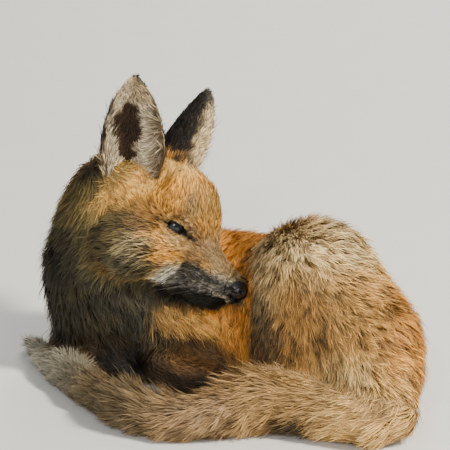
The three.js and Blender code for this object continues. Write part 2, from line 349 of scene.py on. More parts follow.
# The face, in the head's frame in mm.
EYE = {"ball": head.eye, "r": 7.6, "cornea": 0.42, "faces": array(0.72, 0.69, 0.05)}
EYE_INNER = array(41, 12, 1.7)
EYE_OUTER = array(23, 23, 6.5)
NOSE = {"middle": array(81.2, 0, -23.0), "half": array(7.6, 7.8, 6.8)}
# The line between the lips, from the front back: how far forward it is, and how high.
MOUTH = np.array([(86, -30.5), (78, -31.5), (66, -33.5), (50, -35.5), (38, -37)])
# Each ear's foot and tip, and the way in which it opens.
EAR_LINES = {
    "ear_left": {"base": array(-9, 23, 29), "tip": array(-7, 40, 93), "opens": array(0.3, 0.94, 0.1)},
    "ear_right": {"base": array(-10, -26, 30), "tip": array(-19, -40, 98), "opens": array(0.5, -0.86, 0.1)},
}
# Where the tail is cut across to find its middle, as parts of its span along x, and half a cut's thickness.
TAIL_CUTS = (0.95, 0.87, 0.77, 0.67, 0.57, 0.49, 0.42, 0.35, 0.27, 0.19, 0.11, 0.02)
TAIL_CUT_HALF = 0.009


@functools.cache
def tail_line():
    """The tail's middle line, from root to tip."""
    points = np.concatenate([node_mesh(node)[0] for node in TAIL])
    low, high = points[:, 0].min(), points[:, 0].max()
    line = []
    for part in TAIL_CUTS:
        x = low + (high - low) * part
        here = points[np.abs(points[:, 0] - x) < TAIL_CUT_HALF]
        centre = (here.min(0) + here.max(0)) / 2
        line.append((x, centre[1], centre[2]))
    return np.array(line)


def lip_level(forward):
    """How high the line between the lips is, this far forward in the head's frame."""
    return np.interp(-forward, -MOUTH[:, 0], MOUTH[:, 1])


def ear_axes(node):
    """An ear's axes in the head's frame: from foot to tip, and across."""
    line = EAR_LINES[node]
    axis = unit(line["tip"] - line["base"])
    return axis, unit(np.cross(axis, line["opens"]))


def inner_thigh(mm):
    """1 on the front face of the near thigh, which turns in towards the flank."""
    return ramp(mm[:, 1], -36, -26) * (1 - ramp(mm[:, 0], 22, 32))


def along_line(points, line):
    """For each point, how far along the line it is from 0 to 1, and the line's direction there."""
    best = np.full(len(points), np.inf)
    how_far = np.zeros(len(points))
    way = np.zeros_like(points)
    for i, (a, b) in enumerate(zip(line[:-1], line[1:])):
        t = np.clip(dot(points - a, b - a) / dot(b - a, b - a), 0, 1)
        away = np.linalg.norm(points - a - t[:, None] * (b - a), axis=1)
        near = away < best
        best[near] = away[near]
        how_far[near] = (i + t[near]) / (len(line) - 1)
        way[near] = unit(b - a)
    return how_far, way


# ---------------- the skin
def welded(points, triangles):
    """The same surface with vertices at one place made one."""
    _, first, number = np.unique(
        np.round(points / 1e-6).astype(np.int64), axis=0, return_index=True, return_inverse=True
    )
    return points[first], number.reshape(-1)[triangles]


def joined(pieces):
    """Several (points, triangles) as one."""
    points = np.concatenate([p for p, _ in pieces])
    starts = np.cumsum([0] + [len(p) for p, _ in pieces[:-1]])
    return points, np.concatenate([t + start for (_, t), start in zip(pieces, starts)])


def tree_of(points, triangles):
    """A surface made ready for finding the nearest place on it."""
    return BVHTree.FromPolygons([Vector(p) for p in points], triangles.tolist())


def eased(points, edges, rounds, mask=None):
    """The surface smoothed, with the volume that this takes away put back."""
    smooth = spread(points, edges, rounds, 0.5, mask)
    return smooth - spread(smooth - points, edges, rounds * 2, 0.5)


def body_shell():
    """The coat's outer surface from all the flesh nodes, and each vertex's share in each node."""
    pieces = []
    owner = []
    for number, node in enumerate(FLESH):
        points, triangles = welded(*node_mesh(node))
        pieces.append((points + SEAM * vertex_normals(points, triangles), triangles))
        owner += [number] * len(triangles)
    whole = joined(pieces)
    points, quads = remeshed(*whole, SKIN_CELL)
    tree = tree_of(*whole)
    nearest = np.array([owner[tree.find_nearest(Vector(p))[2]] for p in points])
    share = np.eye(len(FLESH))[nearest]
    edges = edges_of(quads)
    share = spread(share, edges, 11)
    on_head = share[:, 0]
    points = eased(points, edges, 16, 0.3 + 0.7 * (1 - on_head))
    points = eased(points, edges, 10, 1 - ramp(head.local(points)[:, 0] / MM, 20, 45) * on_head)
    return points, quads, share


def refined(points, quads, share, chosen):
    """The faces whose vertices are all chosen, divided in four; every face comes back as triangles."""
    inside = chosen[quads].all(1)
    fine = quads[inside]
    sides = np.sort(np.concatenate([fine[:, [k, (k + 1) % 4]] for k in range(4)]), 1)
    pairs, number = np.unique(sides, axis=0, return_inverse=True)
    number = number.reshape(4, -1) + len(points)
    middles = points[pairs].mean(1)
    middle_share = share[pairs].mean(1)
    centre = np.arange(len(fine)) + len(points) + len(pairs)
    points = np.concatenate([points, middles, points[fine].mean(1)])
    share = np.concatenate([share, middle_share, share[fine].mean(1)])
    small = np.concatenate(
        [np.stack([fine[:, k], number[k], centre, number[k - 1]], 1) for k in range(4)]
    )
    split = {tuple(p): n for p, n in zip(pairs.tolist(), range(len(pairs)))}
    border = []
    for quad in quads[~inside]:
        ring = []
        for k in range(4):
            a, b = int(quad[k]), int(quad[(k + 1) % 4])
            ring.append(a)
            cut = split.get((min(a, b), max(a, b)))
            if cut is not None:
                ring.append(cut + len(points) - len(pairs) - len(fine))
        border += [(ring[0], ring[i], ring[i + 1]) for i in range(1, len(ring) - 1)]
    return points, np.concatenate([as_triangles(small), np.array(border, int)]), share


def muzzle_of(local):
    """1 on the muzzle and 0 on the rest of the head."""
    return ramp(local[:, 0], 38, 60)


def cheek_of(local):
    """1 on the cheeks and 0 on the rest of the head."""
    side = ramp(np.abs(local[:, 1]), 17, 33)
    return side * (1 - ramp(local[:, 2], -4, 16)) * (1 - ramp(local[:, 0], 20, 44))


def eye_gap(local):
    """How far a place is from the nearer eye's middle, in mm."""
    middle_left = (EYE_INNER + EYE_OUTER) / 2 + array(1.5, 1, 0.5)
    return np.linalg.norm(folded(local) - middle_left, axis=1)


def share_of(share, *nodes):
    """How much of each vertex belongs to these nodes."""
    return sum(share[:, FLESH.index(node)] for node in nodes)


def node_field(share, field):
    """A setting of the coat, run smoothly from node to node."""
    return share @ np.array([getattr(COAT[node], field) for node in FLESH], float)


def before_ears(local):
    """1 close in front of an ear's foot, fading out over the crown."""
    feet = [line["base"] + array(9, 0, 5) for line in EAR_LINES.values()]
    gaps = [np.linalg.norm(local - foot, axis=1) for foot in feet]
    return 1 - ramp(np.minimum(*gaps), 8, 24)


def depth_of(points, share):
    """The coat's depth in metres."""
    local = head.local(points) / MM
    on_face = 2.7 + 2.6 * cheek_of(local) - 1.5 * muzzle_of(local)
    on_face += 2.5 * (1 - ramp(local[:, 0], -30, 0))
    on_face -= 1.0 * (1 - ramp(eye_gap(local), 8, 20)) * (1 - muzzle_of(local))
    on_face += 2.2 * ramp(local[:, 0], 70, 80)
    on_face += 8.5 * before_ears(local)
    depth = node_field(share, "depth") + share[:, 0] * (np.maximum(on_face, 0.9) - COAT["head"].depth)
    return depth * MM


def sunk(points, triangles, share):
    """The outer surface moved in by the coat's depth, a little at a time so that it can't fold."""
    edges = edges_of(triangles)
    depth = spread(depth_of(points, share), edges, 12)
    for _ in range(SINK_STEPS):
        normals = spread(vertex_normals(points, triangles), edges, 3)
        points = points - unit(normals) * (depth / SINK_STEPS)[:, None]
        points = spread(points, edges, 2, 0.4)
    return points


def sculpted_face(points, triangles, share):
    """Lips with the line between them, the dip under the nose, and room for the nose pad."""
    local = head.local(points) / MM
    forward, side, up = local.T
    normals = vertex_normals(points, triangles)
    on_head = share[:, 0]
    beside_lips = ramp(forward, 33, 42) * on_head
    above = up - lip_level(forward)
    groove = -1.5 * np.exp(-((above / 0.85) ** 2))
    upper = 0.7 * np.exp(-(((above - 2.2) / 1.7) ** 2))
    lower = -0.9 * np.exp(-(((above + 2.6) / 2.2) ** 2))
    dip = -0.9 * np.exp(-((side / 0.8) ** 2)) * ramp(forward, 78, 84)
    dip *= ramp(up, -33, -30)
    move = beside_lips * (groove + upper + lower) + on_head * dip
    points = points + normals * (move * MM)[:, None]
    from_nose = head.local(points) / MM - NOSE["middle"]
    gap = np.linalg.norm(from_nose / NOSE["half"], axis=1)
    under_pad = 0.17 * (1 - ramp(gap, 1.02, 1.2)) * on_head
    return head.world((NOSE["middle"] + from_nose * (1 - under_pad)[:, None]) * MM)


def eye_frame(side):
    """An eye in the head's frame: its middle, and the ways out, to its outer corner and up."""
    flip = array(1, side, 1)
    ball = EYE["ball"] * flip
    out = unit(EYE["faces"] * flip)
    along = (EYE_OUTER - EYE_INNER) * flip
    along = unit(along - dot(along, out) * out)
    up = np.cross(out, along)
    up *= np.sign(up[2])
    return ball, out, along, up


SOCKET_FRONT = 18  # nothing further in front of an eyeball than this belongs to its socket
# The open lids: half the slit's length, its height above and below, how far it sits towards the outer
# corner, and how far out the lids run to the skin.
LID_OPEN = {"half": 6.9, "upper": 2.5, "lower": 1.9, "shift": 0.2, "reach": 11.5}
LID_SQUASH = 0.86  # the height of the ring where they meet the skin, as a part of its length
LID_RINGS = 15
LID_SIDES = 64


def lid_margin(angle):
    """The edge of the open lids round the eye, along the slit and up, in mm."""
    along = LID_OPEN["half"] * np.cos(angle) + LID_OPEN["shift"]
    height = np.where(np.sin(angle) > 0, LID_OPEN["upper"], LID_OPEN["lower"])
    taper = 1 - 0.22 * np.abs(np.cos(angle)) ** 3
    lean = -0.5 * np.cos(angle)
    return along, height * np.sin(angle) * np.abs(np.sin(angle)) ** 0.25 * taper + lean


def lids(side, skin_tree):
    """Both lids of an eye as one ring, from the edge on the eyeball out to the skin."""
    ball, out, along, up = eye_frame(side)
    angle = np.arange(LID_SIDES) / LID_SIDES * 2 * math.pi
    edge_x, edge_y = lid_margin(angle)
    wide_x = LID_OPEN["reach"] * np.cos(angle)
    wide_y = LID_OPEN["reach"] * LID_SQUASH * np.sin(angle)
    points = []
    for ring in range(-1, LID_RINGS):
        t = max(ring, 0) / (LID_RINGS - 1)
        x = edge_x + (wide_x - edge_x) * t
        y = edge_y + (wide_y - edge_y) * t
        thick = 0.2 if ring < 0 else 0.7 + 0.35 * math.sin(math.pi * min(t * 2.2, 1))
        flat = np.hypot(x, y)
        turn = np.minimum(flat / (EYE["r"] + 0.6), 1.45)
        way = (x / np.maximum(flat, 1e-6))[:, None] * along + (y / np.maximum(flat, 1e-6))[:, None] * up
        on_ball = ball + (EYE["r"] + thick) * (
            np.cos(turn)[:, None] * out + np.sin(turn)[:, None] * way
        )
        to_skin = float(ramp(np.array([t]), 0.08, 0.5)[0])
        if to_skin > 0:
            start = head.world((ball + 30 * out + x[:, None] * along + y[:, None] * up) * MM)
            down = Vector(head.away(-out))
            hits = [skin_tree.ray_cast(Vector(p), down)[0] for p in start]
            on_skin = head.local(np.array([hit if hit else p for hit, p in zip(hits, start)])) / MM
            on_skin = on_skin + (0.55 - 1.5 * float(t == 1)) * out
            on_ball = on_ball + (on_skin - on_ball) * to_skin
            gap = np.linalg.norm(on_ball - ball, axis=1)
            on_ball = ball + (on_ball - ball) * np.maximum(1, (EYE["r"] + thick) / gap)[:, None]
        points.append(on_ball)
    points = np.concatenate(points)
    number = np.arange((LID_RINGS + 1) * LID_SIDES).reshape(LID_RINGS + 1, LID_SIDES)
    after = np.roll(number, -1, 1)
    quads = np.stack([number[:-1], after[:-1], after[1:], number[1:]], -1).reshape(-1, 4)
    if dot(np.cross(points[LID_SIDES] - points[0], points[1] - points[0]), out) > 0:
        quads = quads[:, ::-1]
    edge = np.repeat(np.maximum(np.arange(-1, LID_RINGS), 0) / (LID_RINGS - 1), LID_SIDES)
    return head.world(points * MM), as_triangles(quads), edge


def sockets_opened(points):
    """The skin pushed back behind each eyeball, where the lids take its place."""
    local = head.local(points) / MM
    for side in (1, -1):
        ball, out, along, up = eye_frame(side)
        x, y, z = ((local - ball) @ axis for axis in (along, up, out))
        wide = np.hypot(x, y / LID_SQUASH)
        near = 1 - ramp(wide, LID_OPEN["reach"] - 3.0, LID_OPEN["reach"] - 0.6)
        near = near * (z > -4) * (z < SOCKET_FRONT)
        local = local - (near * np.maximum(z - 1.0, 0))[:, None] * out
    return head.world(local * MM)


EAR_PINCH = 0.34  # how much narrower an ear's foot is made
EAR_DROP = 13  # how far the foot is drawn down into the head
EAR_HALF_WIDE = 24.5


def ear_shell(node):
    """An ear's skin, its foot drawn down into the head."""
    points, quads = remeshed(*welded(*node_mesh(node)), EAR_CELL)
    edges = edges_of(quads)
    points = eased(points, edges, 16)
    base = EAR_LINES[node]["base"]
    axis, across = ear_axes(node)
    local = head.local(points) / MM
    height = (local - base) @ axis
    pinch = EAR_PINCH * (1 - ramp(height, -4, 24))
    local = local - (pinch * ((local - base) @ across))[:, None] * across
    local = local - ((1 - ramp(height, 0, 26)) * EAR_DROP)[:, None] * axis
    return head.world(local * MM), as_triangles(quads)


# Where the tail's hair is shaggy: the middle and half-widths of the place, how much longer the hair is
# there, and how many degrees higher it lifts.
SHAGGY_TAIL = (
    ((26, -66, 36), (34, 18, 12), 7, 22),
    ((-46, -70, 26), (32, 18, 12), 6, 27),
)
UNDERSIDE = 1.2 * MM  # hair rooted lower than this is thin, as the cub lies on it


class Hide:
    """The whole skin as arrays, with what the coat needs to know at each vertex."""

    def __init__(self):
        points, quads, share = body_shell()
        local = head.local(points) / MM
        face = (share[:, 0] > 0.5) & (local[:, 0] > 18)
        points, triangles, share = refined(points, quads, share, face)
        points = sunk(points, triangles, share)
        points = sculpted_face(points, triangles, share)
        skin_tree = tree_of(points, triangles)
        pieces = [(sockets_opened(points), triangles)]
        kinds = [np.full(len(points), BODY, float)]
        edges = [np.ones(len(points))]
        for side in (1, -1):
            lid_points, lid_triangles, edge = lids(side, skin_tree)
            pieces.append((lid_points, lid_triangles))
            kinds.append(np.full(len(lid_points), LID, float))
            edges.append(edge)
        for kind, node in enumerate(EARS, LEFT_EAR):
            ear_points, ear_triangles = ear_shell(node)
            pieces.append((ear_points, ear_triangles))
            kinds.append(np.full(len(ear_points), kind, float))
            edges.append(np.ones(len(ear_points)))
        self.kind = np.concatenate(kinds)
        self.edge = np.concatenate(edges)
        self.points, self.triangles = joined(pieces)
        only_head = np.zeros((len(self.points) - len(share), len(FLESH)))
        only_head[:, 0] = 1
        self.share = np.concatenate([share, only_head])
        self.edges = edges_of(self.triangles)
        self.local = head.local(self.points) / MM
        normals = vertex_normals(self.points, self.triangles)
        self.soft_normals = unit(spread(normals, self.edges, 5))
        self.ear_place()
        self.flow = self.lie()
        self.bend = self.bending()
        self.measures()

    def ear_place(self):
        """For each ear's vertices: height from foot to tip, place across, and which side of the leaf."""
        count = len(self.points)
        self.high = np.zeros(count)
        self.across = np.zeros(count)
        self.inner = np.zeros(count)
        for kind, node in enumerate(EARS, LEFT_EAR):
            here = self.kind == kind
            line = EAR_LINES[node]
            axis, wide = ear_axes(node)
            front = np.cross(wide, axis)
            rise = (self.local - line["base"]) @ axis / np.linalg.norm(line["tip"] - line["base"])
            self.high[here] = rise[here]
            self.across[here] = ((self.local - line["base"]) @ wide / EAR_HALF_WIDE)[here]
            facing = self.soft_normals @ head.away(front)
            self.inner[here] = ramp(facing, -0.1, 0.35)[here]

    def head_lie(self):
        """The way of the hair on the head: back from the nose, and up over the crown."""
        back = unit(self.local - array(86, 0, -16))
        back = back + array(-0.55, 0, 0.05) + cheek_of(self.local)[:, None] * array(-0.2, 0, -0.45)
        crown = ramp(self.local[:, 2], 6, 20) * ramp(self.local[:, 0], -12, 12)
        fan = array(-0.12, 0, 1) + self.local * array(0.009, 0.011, 0)
        return unit(head.away(back + (fan - back) * crown[:, None]))

    def node_lie(self, node):
        """The way of the hair on one node of the body."""
        if node in TAIL:
            return along_line(self.points, tail_line())[1]
        place = self.points / MM
        on_top = ramp(self.soft_normals[:, 2], 0.35, 0.8)[:, None]
        way = np.tile(unit(array(*LIE[node])), (len(place), 1))
        if node in ("hindleg_left", "hindquarters"):
            fan = np.clip((place[:, 0] - 55) / 45, -1, 1)
            way = way + fan[:, None] * array(0.55, 0, 0)
            way = way + on_top * array(0.3, -0.5, 0.3)
        if node == "hindleg_left":
            inner = inner_thigh(place)[:, None]
            way = way * (1 - inner) + inner * array(0.55, 0.1, -0.8)
        if node in ("chest", "neck"):
            way = way + on_top * array(0.7, 0.1, 0.3)
        if node == "belly":
            way = way + on_top * array(0.6, -0.25, 0.4)
        return way

    def ear_lie(self, node):
        """The way of the hair on an ear: up it, and in from its rim over the hollow."""
        axis, wide = (head.away(way) for way in ear_axes(node))
        near_rim = self.inner * ramp(np.abs(self.across), 0.05, 0.45)
        inward = -np.sign(self.across) * near_rim * np.where(self.across > 0, 1.9, 0.5)
        inward *= 1 - 0.9 * ramp(np.abs(self.across), 0.5, 0.85)
        rise = 1 - 1.25 * near_rim * (self.across > 0) * (1 - ramp(self.high, 0.45, 0.8))
        outward = self.across * 0.9 * (1 - self.inner) * ramp(np.abs(self.across), 0.4, 0.9)
        return rise[:, None] * axis + (inward + outward)[:, None] * wide

    def lie(self):
        """The direction in which the hair lies, along the surface."""
        way = self.share[:, :1] * self.head_lie()
        for column, node in enumerate(FLESH[1:], 1):
            way = way + self.share[:, column : column + 1] * unit(self.node_lie(node))
        for kind, node in enumerate(EARS, LEFT_EAR):
            here = self.kind == kind
            way[here] = self.ear_lie(node)[here]
        for _ in range(3):
            way = spread(way, self.edges, 8)
            way = unit(way - dot(way, self.soft_normals)[:, None] * self.soft_normals)
        return way

    def bending(self):
        """How fast the surface turns away under a hair that lies along it, per metre."""
        a, b = self.edges.T
        step = self.points[b] - self.points[a]
        turn = self.soft_normals[b] - self.soft_normals[a]
        up = np.zeros(len(self.points))
        down = np.zeros(len(self.points))
        for end in (a, b):
            ahead = dot(step, self.flow[end])
            up += np.bincount(end, dot(turn, self.flow[end]) * ahead, len(up))
            down += np.bincount(end, ahead * ahead, len(down))
        return np.clip(spread(up / np.maximum(down, 1e-12), self.edges, 10), -60, 60)

    def measures(self):
        """Length, lift, width, distance between locks, and how thickly the tufts stand."""
        self.length, self.lift, self.width, self.lock = (
            node_field(self.share, field) for field in ("length", "lift", "width", "lock")
        )
        self.measure_body()
        self.measure_head()
        self.measure_nose()
        self.measure_lids()
        self.measure_ears()
        self.density = 1 / (self.length * self.width)
        on_lid = self.kind == LID
        self.density[on_lid] *= 1.8 * ramp(self.edge, 0.02, 0.08)[on_lid]
        self.density *= self.covered()
        self.density *= np.where(self.points[:, 2] < UNDERSIDE, 0.15, 1)

    def measure_body(self):
        """Shaggier hair on two places of the tail, and hair that stands up on the rump."""
        place = self.points / MM
        tail = share_of(self.share, *TAIL)
        rump = share_of(self.share, "hindleg_left", "hindquarters")
        for centre, half, longer, higher in SHAGGY_TAIL:
            shaggy = blob(place, centre, half) * tail
            self.length += longer * shaggy
            self.lift += higher * shaggy
        top = ramp(place[:, 2], 96, 116) * rump
        self.lift += 20 * top
        self.length += 1.0 * top
        rear = ramp(place[:, 0], 98, 122) * rump
        self.lift += 8 * rear

    def measure_head(self):
        """Short hair on the muzzle and round the eyes, longer hair on the cheeks and nape."""
        local, on_head = self.local, self.share[:, 0]
        muzzle, cheek = muzzle_of(local), cheek_of(local)
        near_eye = 1 - ramp(eye_gap(local), 9, 20)
        crown = ramp(local[:, 2], 18, 34)
        nape = 1 - ramp(local[:, 0], -30, 5)
        length = 6.4 + 6.5 * cheek + 2.2 * crown + 6 * nape
        length = length + (3.4 - length) * muzzle
        length = length + (2.6 - length) * ramp(local[:, 0], 62, 76)
        length = length + (3.6 - length) * near_eye * (1 - muzzle)
        length = length + (4.2 - length) * before_ears(local)
        lift = 33 + 10 * crown + 4 * cheek - 14 * muzzle - 18 * before_ears(local)
        width = 0.42 + 0.08 * cheek + 0.08 * nape - 0.06 * muzzle - 0.04 * near_eye
        lock = 1.5 + 0.9 * cheek + 0.9 * nape - 0.3 * muzzle
        self.length += on_head * (length - COAT["head"].length)
        self.lift += on_head * (lift - COAT["head"].lift)
        self.width += on_head * (width - COAT["head"].width)
        self.lock += on_head * (lock - COAT["head"].lock)
        below_lips = lip_level(local[:, 0]) - local[:, 2]
        chin = ramp(below_lips, 3, 8) * ramp(local[:, 0], 44, 54) * on_head
        self.length += 2.0 * chin
        self.lift += 12 * chin

    def measure_nose(self):
        """Flat, short hair on the flank where the nose lies against it."""
        gap = np.linalg.norm(self.local - NOSE["middle"], axis=1)
        beside_nose = (1 - ramp(gap, 14, 24)) * (1 - self.share[:, 0])
        self.length -= 0.6 * self.length * beside_nose
        self.lift -= 20 * beside_nose

    def measure_lids(self):
        """Very short hair at the edge of the lids, longer towards the skin."""
        lid = self.kind == LID
        self.length[lid] = 1.6 + 2.0 * ramp(self.edge, 0.0, 0.6)[lid]
        self.lift[lid] = 26
        self.width[lid] = 0.36

    def measure_ears(self):
        """Long hair inside the rim, short hair on the back."""
        ear = self.kind >= LEFT_EAR
        rim = np.maximum(ramp(np.abs(self.across), 0.62, 0.95), ramp(self.high, 0.8, 1.0))
        low = 1 - ramp(self.high, 0.0, 0.3)
        longer = 9 * ramp(np.abs(self.across), 0.35, 0.8) * (1 - ramp(self.high, 0.6, 0.95))
        inside = self.inner * (4 + longer)
        behind = (1 - self.inner) * (4.6 + 4 * low + 2.5 * rim)
        length = np.maximum(inside, behind) + 1.5 * rim * low
        outer_edge = (self.kind == RIGHT_EAR) * (1 - ramp(self.across, -0.8, -0.6))
        outer_edge = outer_edge * ramp(self.high, 0.1, 0.3)
        self.length[ear] = (length * (1 - 0.4 * outer_edge))[ear]
        self.lift[ear] = (16 + 14 * self.inner)[ear]
        self.width[ear] = 0.5
        self.lock[ear] = 1.6

    def covered(self):
        """0 where a lid, an eyeball or the nose pad lies over the skin, and 1 elsewhere."""
        bare = np.ones(len(self.points))
        for side in (1, -1):
            ball, out, along, up = eye_frame(side)
            x, y, z = ((self.local - ball) @ axis for axis in (along, up, out))
            wide = np.hypot(x, y / LID_SQUASH)
            under_lid = (wide < LID_OPEN["reach"] - 0.8) & (z > -5) & (z < SOCKET_FRONT)
            bare[under_lid & (self.kind == BODY)] = 0
        gap = np.linalg.norm((self.local - NOSE["middle"]) / (NOSE["half"] + 0.3), axis=1)
        return bare * ramp(gap, 0.93, 1.0)


@functools.cache
def hide():
    """The skin's arrays, worked out once."""
    return Hide()


# ---------------- markings, with painted light and shade
def linear(colour):
    """A colour as it is seen, in the linear form that materials take."""
    c = np.asarray(colour, float)
    return np.where(c <= 0.04045, c / 12.92, ((c + 0.055) / 1.055) ** 2.4)


def seen(colour):
    """The other way: a material's linear colour as it is seen."""
    c = np.asarray(colour, float)
    return np.where(c <= 0.0031308, c * 12.92, 1.055 * c ** (1 / 2.4) - 0.055)


# The colours of the markings, and of the light and shade painted into the coat, as they are seen: the
# middle of a hair, its tip and its root. A root that is left out is half as bright as the middle, and a tip
# that is left out is like the middle.
SHADES = {
    "haunch_fleck": ((0.52, 0.39, 0.2), (0.76, 0.59, 0.34)),
    "haunch_shade": ((0.34, 0.24, 0.1), (0.58, 0.42, 0.21), (0.19, 0.13, 0.065)),
    "haunch_top_lit": ((0.7, 0.58, 0.4), (0.95, 0.85, 0.64), (0.48, 0.38, 0.25)),
    "haunch_foot": ((0.74, 0.6, 0.38), (0.96, 0.84, 0.61), (0.44, 0.34, 0.2)),
    "rump": ((0.6, 0.38, 0.13), (0.77, 0.52, 0.21), (0.36, 0.22, 0.08)),
    "thigh_edge_grey_and_shade": ((0.3, 0.25, 0.16), (0.56, 0.48, 0.35), (0.16, 0.13, 0.08)),
    "thigh_top_lit": ((0.58, 0.47, 0.31), (0.88, 0.75, 0.55), (0.33, 0.26, 0.17)),
    "thigh_shade": ((0.26, 0.2, 0.13), (0.42, 0.33, 0.22)),
    "thigh_inside": ((0.74, 0.46, 0.17), (0.86, 0.6, 0.27), (0.45, 0.27, 0.1)),
    "flank_top": ((0.42, 0.26, 0.09), (0.7, 0.46, 0.18), (0.25, 0.15, 0.05)),
    "flank_low_lit": ((0.92, 0.62, 0.24), (0.98, 0.76, 0.4), (0.66, 0.4, 0.14)),
    "flank_pale": ((0.92, 0.72, 0.42), (0.98, 0.86, 0.62)),
    "shin": ((0.36, 0.26, 0.16), (0.5, 0.38, 0.25), (0.22, 0.16, 0.1)),
    "ruff": ((0.34, 0.29, 0.16), (0.48, 0.42, 0.26), (0.2, 0.17, 0.1)),
    "ruff_low_shade": ((0.1, 0.098, 0.064), (0.19, 0.185, 0.135), (0.06, 0.056, 0.04)),
    "ruff_dark_shade": ((0.15, 0.14, 0.105), (0.28, 0.265, 0.22)),
    "ruff_behind": ((0.62, 0.43, 0.2), (0.8, 0.6, 0.33)),
    "ruff_fleck": ((0.24, 0.2, 0.12), (0.4, 0.34, 0.22)),
    "breast": ((0.8, 0.57, 0.27), (0.95, 0.77, 0.46), (0.46, 0.3, 0.13)),
    "chest_foot_shade": ((0.2, 0.16, 0.11), (0.3, 0.24, 0.17), (0.12, 0.1, 0.07)),
    "leg": ((0.2, 0.155, 0.1), (0.33, 0.26, 0.17), (0.12, 0.09, 0.065)),
    "leg_brown_and_highlight": ((0.57, 0.41, 0.24), (0.76, 0.57, 0.36), (0.32, 0.22, 0.13)),
    "leg_shaded": ((0.05, 0.044, 0.032), (0.09, 0.077, 0.056), (0.035, 0.03, 0.022)),
    "tail_near_rump": ((0.54, 0.41, 0.23), (0.75, 0.6, 0.38), (0.33, 0.24, 0.13)),
    "tail_root": ((0.74, 0.57, 0.33), (0.97, 0.81, 0.54), (0.44, 0.32, 0.17)),
    "tail_fleck": ((0.42, 0.32, 0.2), (0.64, 0.51, 0.34)),
    "tail_bend": ((0.33, 0.24, 0.14), (0.55, 0.42, 0.25)),
    "tail_foot": ((0.14, 0.11, 0.08), (0.26, 0.2, 0.14)),
    "tail_half": ((0.46, 0.37, 0.26), (0.66, 0.55, 0.41), (0.28, 0.22, 0.15)),
    "tail_dark": ((0.3, 0.25, 0.17), (0.46, 0.39, 0.28), (0.18, 0.15, 0.1)),
    "tail_pale_shaded": ((0.42, 0.4, 0.33), (0.62, 0.59, 0.51), (0.25, 0.23, 0.19)),
    "tail_tip": ((0.6, 0.57, 0.49), (0.8, 0.77, 0.69), (0.38, 0.35, 0.29)),
    "head": ((0.7, 0.44, 0.13), (0.92, 0.69, 0.3), (0.34, 0.21, 0.07)),
    "beside_ear": ((0.76, 0.56, 0.28), (0.95, 0.8, 0.5), (0.42, 0.3, 0.15)),
    "hind_cheek_shade": ((0.235, 0.205, 0.12), (0.38, 0.34, 0.22), (0.12, 0.105, 0.065)),
    "forehead": ((0.53, 0.395, 0.19), (0.75, 0.6, 0.34), (0.3, 0.215, 0.1)),
    "brow": ((0.36, 0.29, 0.2), (0.52, 0.44, 0.32), (0.2, 0.16, 0.11)),
    "behind_eye": ((0.5, 0.35, 0.16), (0.66, 0.48, 0.25)),
    "bridge": ((0.39, 0.315, 0.205), (0.54, 0.45, 0.31), (0.23, 0.18, 0.12)),
    "cheek": ((0.2, 0.175, 0.105), (0.35, 0.31, 0.21), (0.11, 0.09, 0.055)),
    "crown": ((0.76, 0.55, 0.28), (0.94, 0.8, 0.53), (0.42, 0.29, 0.13)),
    "temple": ((0.34, 0.25, 0.13), (0.5, 0.385, 0.23), (0.18, 0.13, 0.07)),
    "gold_cheek": ((0.76, 0.53, 0.25), (0.9, 0.72, 0.44), (0.46, 0.31, 0.14)),
    "mid_cheek": ((0.36, 0.31, 0.2), (0.68, 0.62, 0.48), (0.17, 0.14, 0.09)),
    "eye_to_muzzle_dark": ((0.32, 0.25, 0.17), (0.45, 0.36, 0.26), (0.18, 0.14, 0.1)),
    "under_cheek_shade": ((0.2, 0.185, 0.125), (0.44, 0.41, 0.32), (0.11, 0.1, 0.07)),
    "silver": ((0.68, 0.65, 0.57), (0.95, 0.93, 0.87), (0.34, 0.31, 0.26)),
    "jowl_shade": ((0.215, 0.2, 0.135), (0.35, 0.325, 0.24), (0.12, 0.11, 0.075)),
    "patch": ((0.075, 0.069, 0.058), (0.28, 0.265, 0.235), (0.035, 0.031, 0.027)),
    "grey_lip": ((0.3, 0.28, 0.24), (0.62, 0.58, 0.52), (0.12, 0.11, 0.09)),
    "throat": ((0.24, 0.215, 0.15), (0.38, 0.35, 0.26), (0.13, 0.115, 0.08)),
    "dark_chin_and_shade": ((0.06, 0.054, 0.044), (0.13, 0.118, 0.095), (0.035, 0.03, 0.026)),
    "pale_lip": ((0.5, 0.44, 0.36), (0.7, 0.64, 0.55), (0.3, 0.26, 0.22)),
    "nape": ((0.74, 0.5, 0.21), (0.94, 0.76, 0.44), (0.42, 0.27, 0.11)),
    "behind_ear": ((0.4, 0.3, 0.15), (0.56, 0.44, 0.25), (0.24, 0.17, 0.1)),
    "before_ear": ((0.74, 0.5, 0.22), (0.94, 0.77, 0.47), (0.42, 0.27, 0.12)),
    "below_eye": ((0.72, 0.54, 0.3), (0.92, 0.78, 0.53), (0.42, 0.3, 0.16)),
    "lid": ((0.56, 0.43, 0.27), (0.8, 0.66, 0.45), (0.34, 0.25, 0.15)),
    "lid_pale": ((0.72, 0.62, 0.46), (0.92, 0.84, 0.68)),
    "ear_back": ((0.12, 0.1, 0.08), (0.2, 0.17, 0.13), (0.08, 0.07, 0.06)),
    "ear_foot": ((0.72, 0.5, 0.23), (0.84, 0.64, 0.34), (0.4, 0.26, 0.12)),
    "ear_strip": ((0.66, 0.56, 0.4), (0.86, 0.78, 0.63), (0.42, 0.33, 0.22)),
    "ear_inside": ((0.64, 0.57, 0.46), (0.9, 0.85, 0.74), (0.34, 0.27, 0.19)),
    "ear_hollow": ((0.13, 0.087, 0.052), (0.24, 0.17, 0.105), (0.065, 0.042, 0.026)),
    "ear_tip": ((0.5, 0.4, 0.27), (0.68, 0.58, 0.42)),
    "ear_rim": ((0.4, 0.33, 0.24), (0.6, 0.51, 0.38), (0.22, 0.17, 0.12)),
    "ear_edge": ((0.1, 0.085, 0.065), (0.18, 0.15, 0.115), (0.06, 0.05, 0.04)),
}


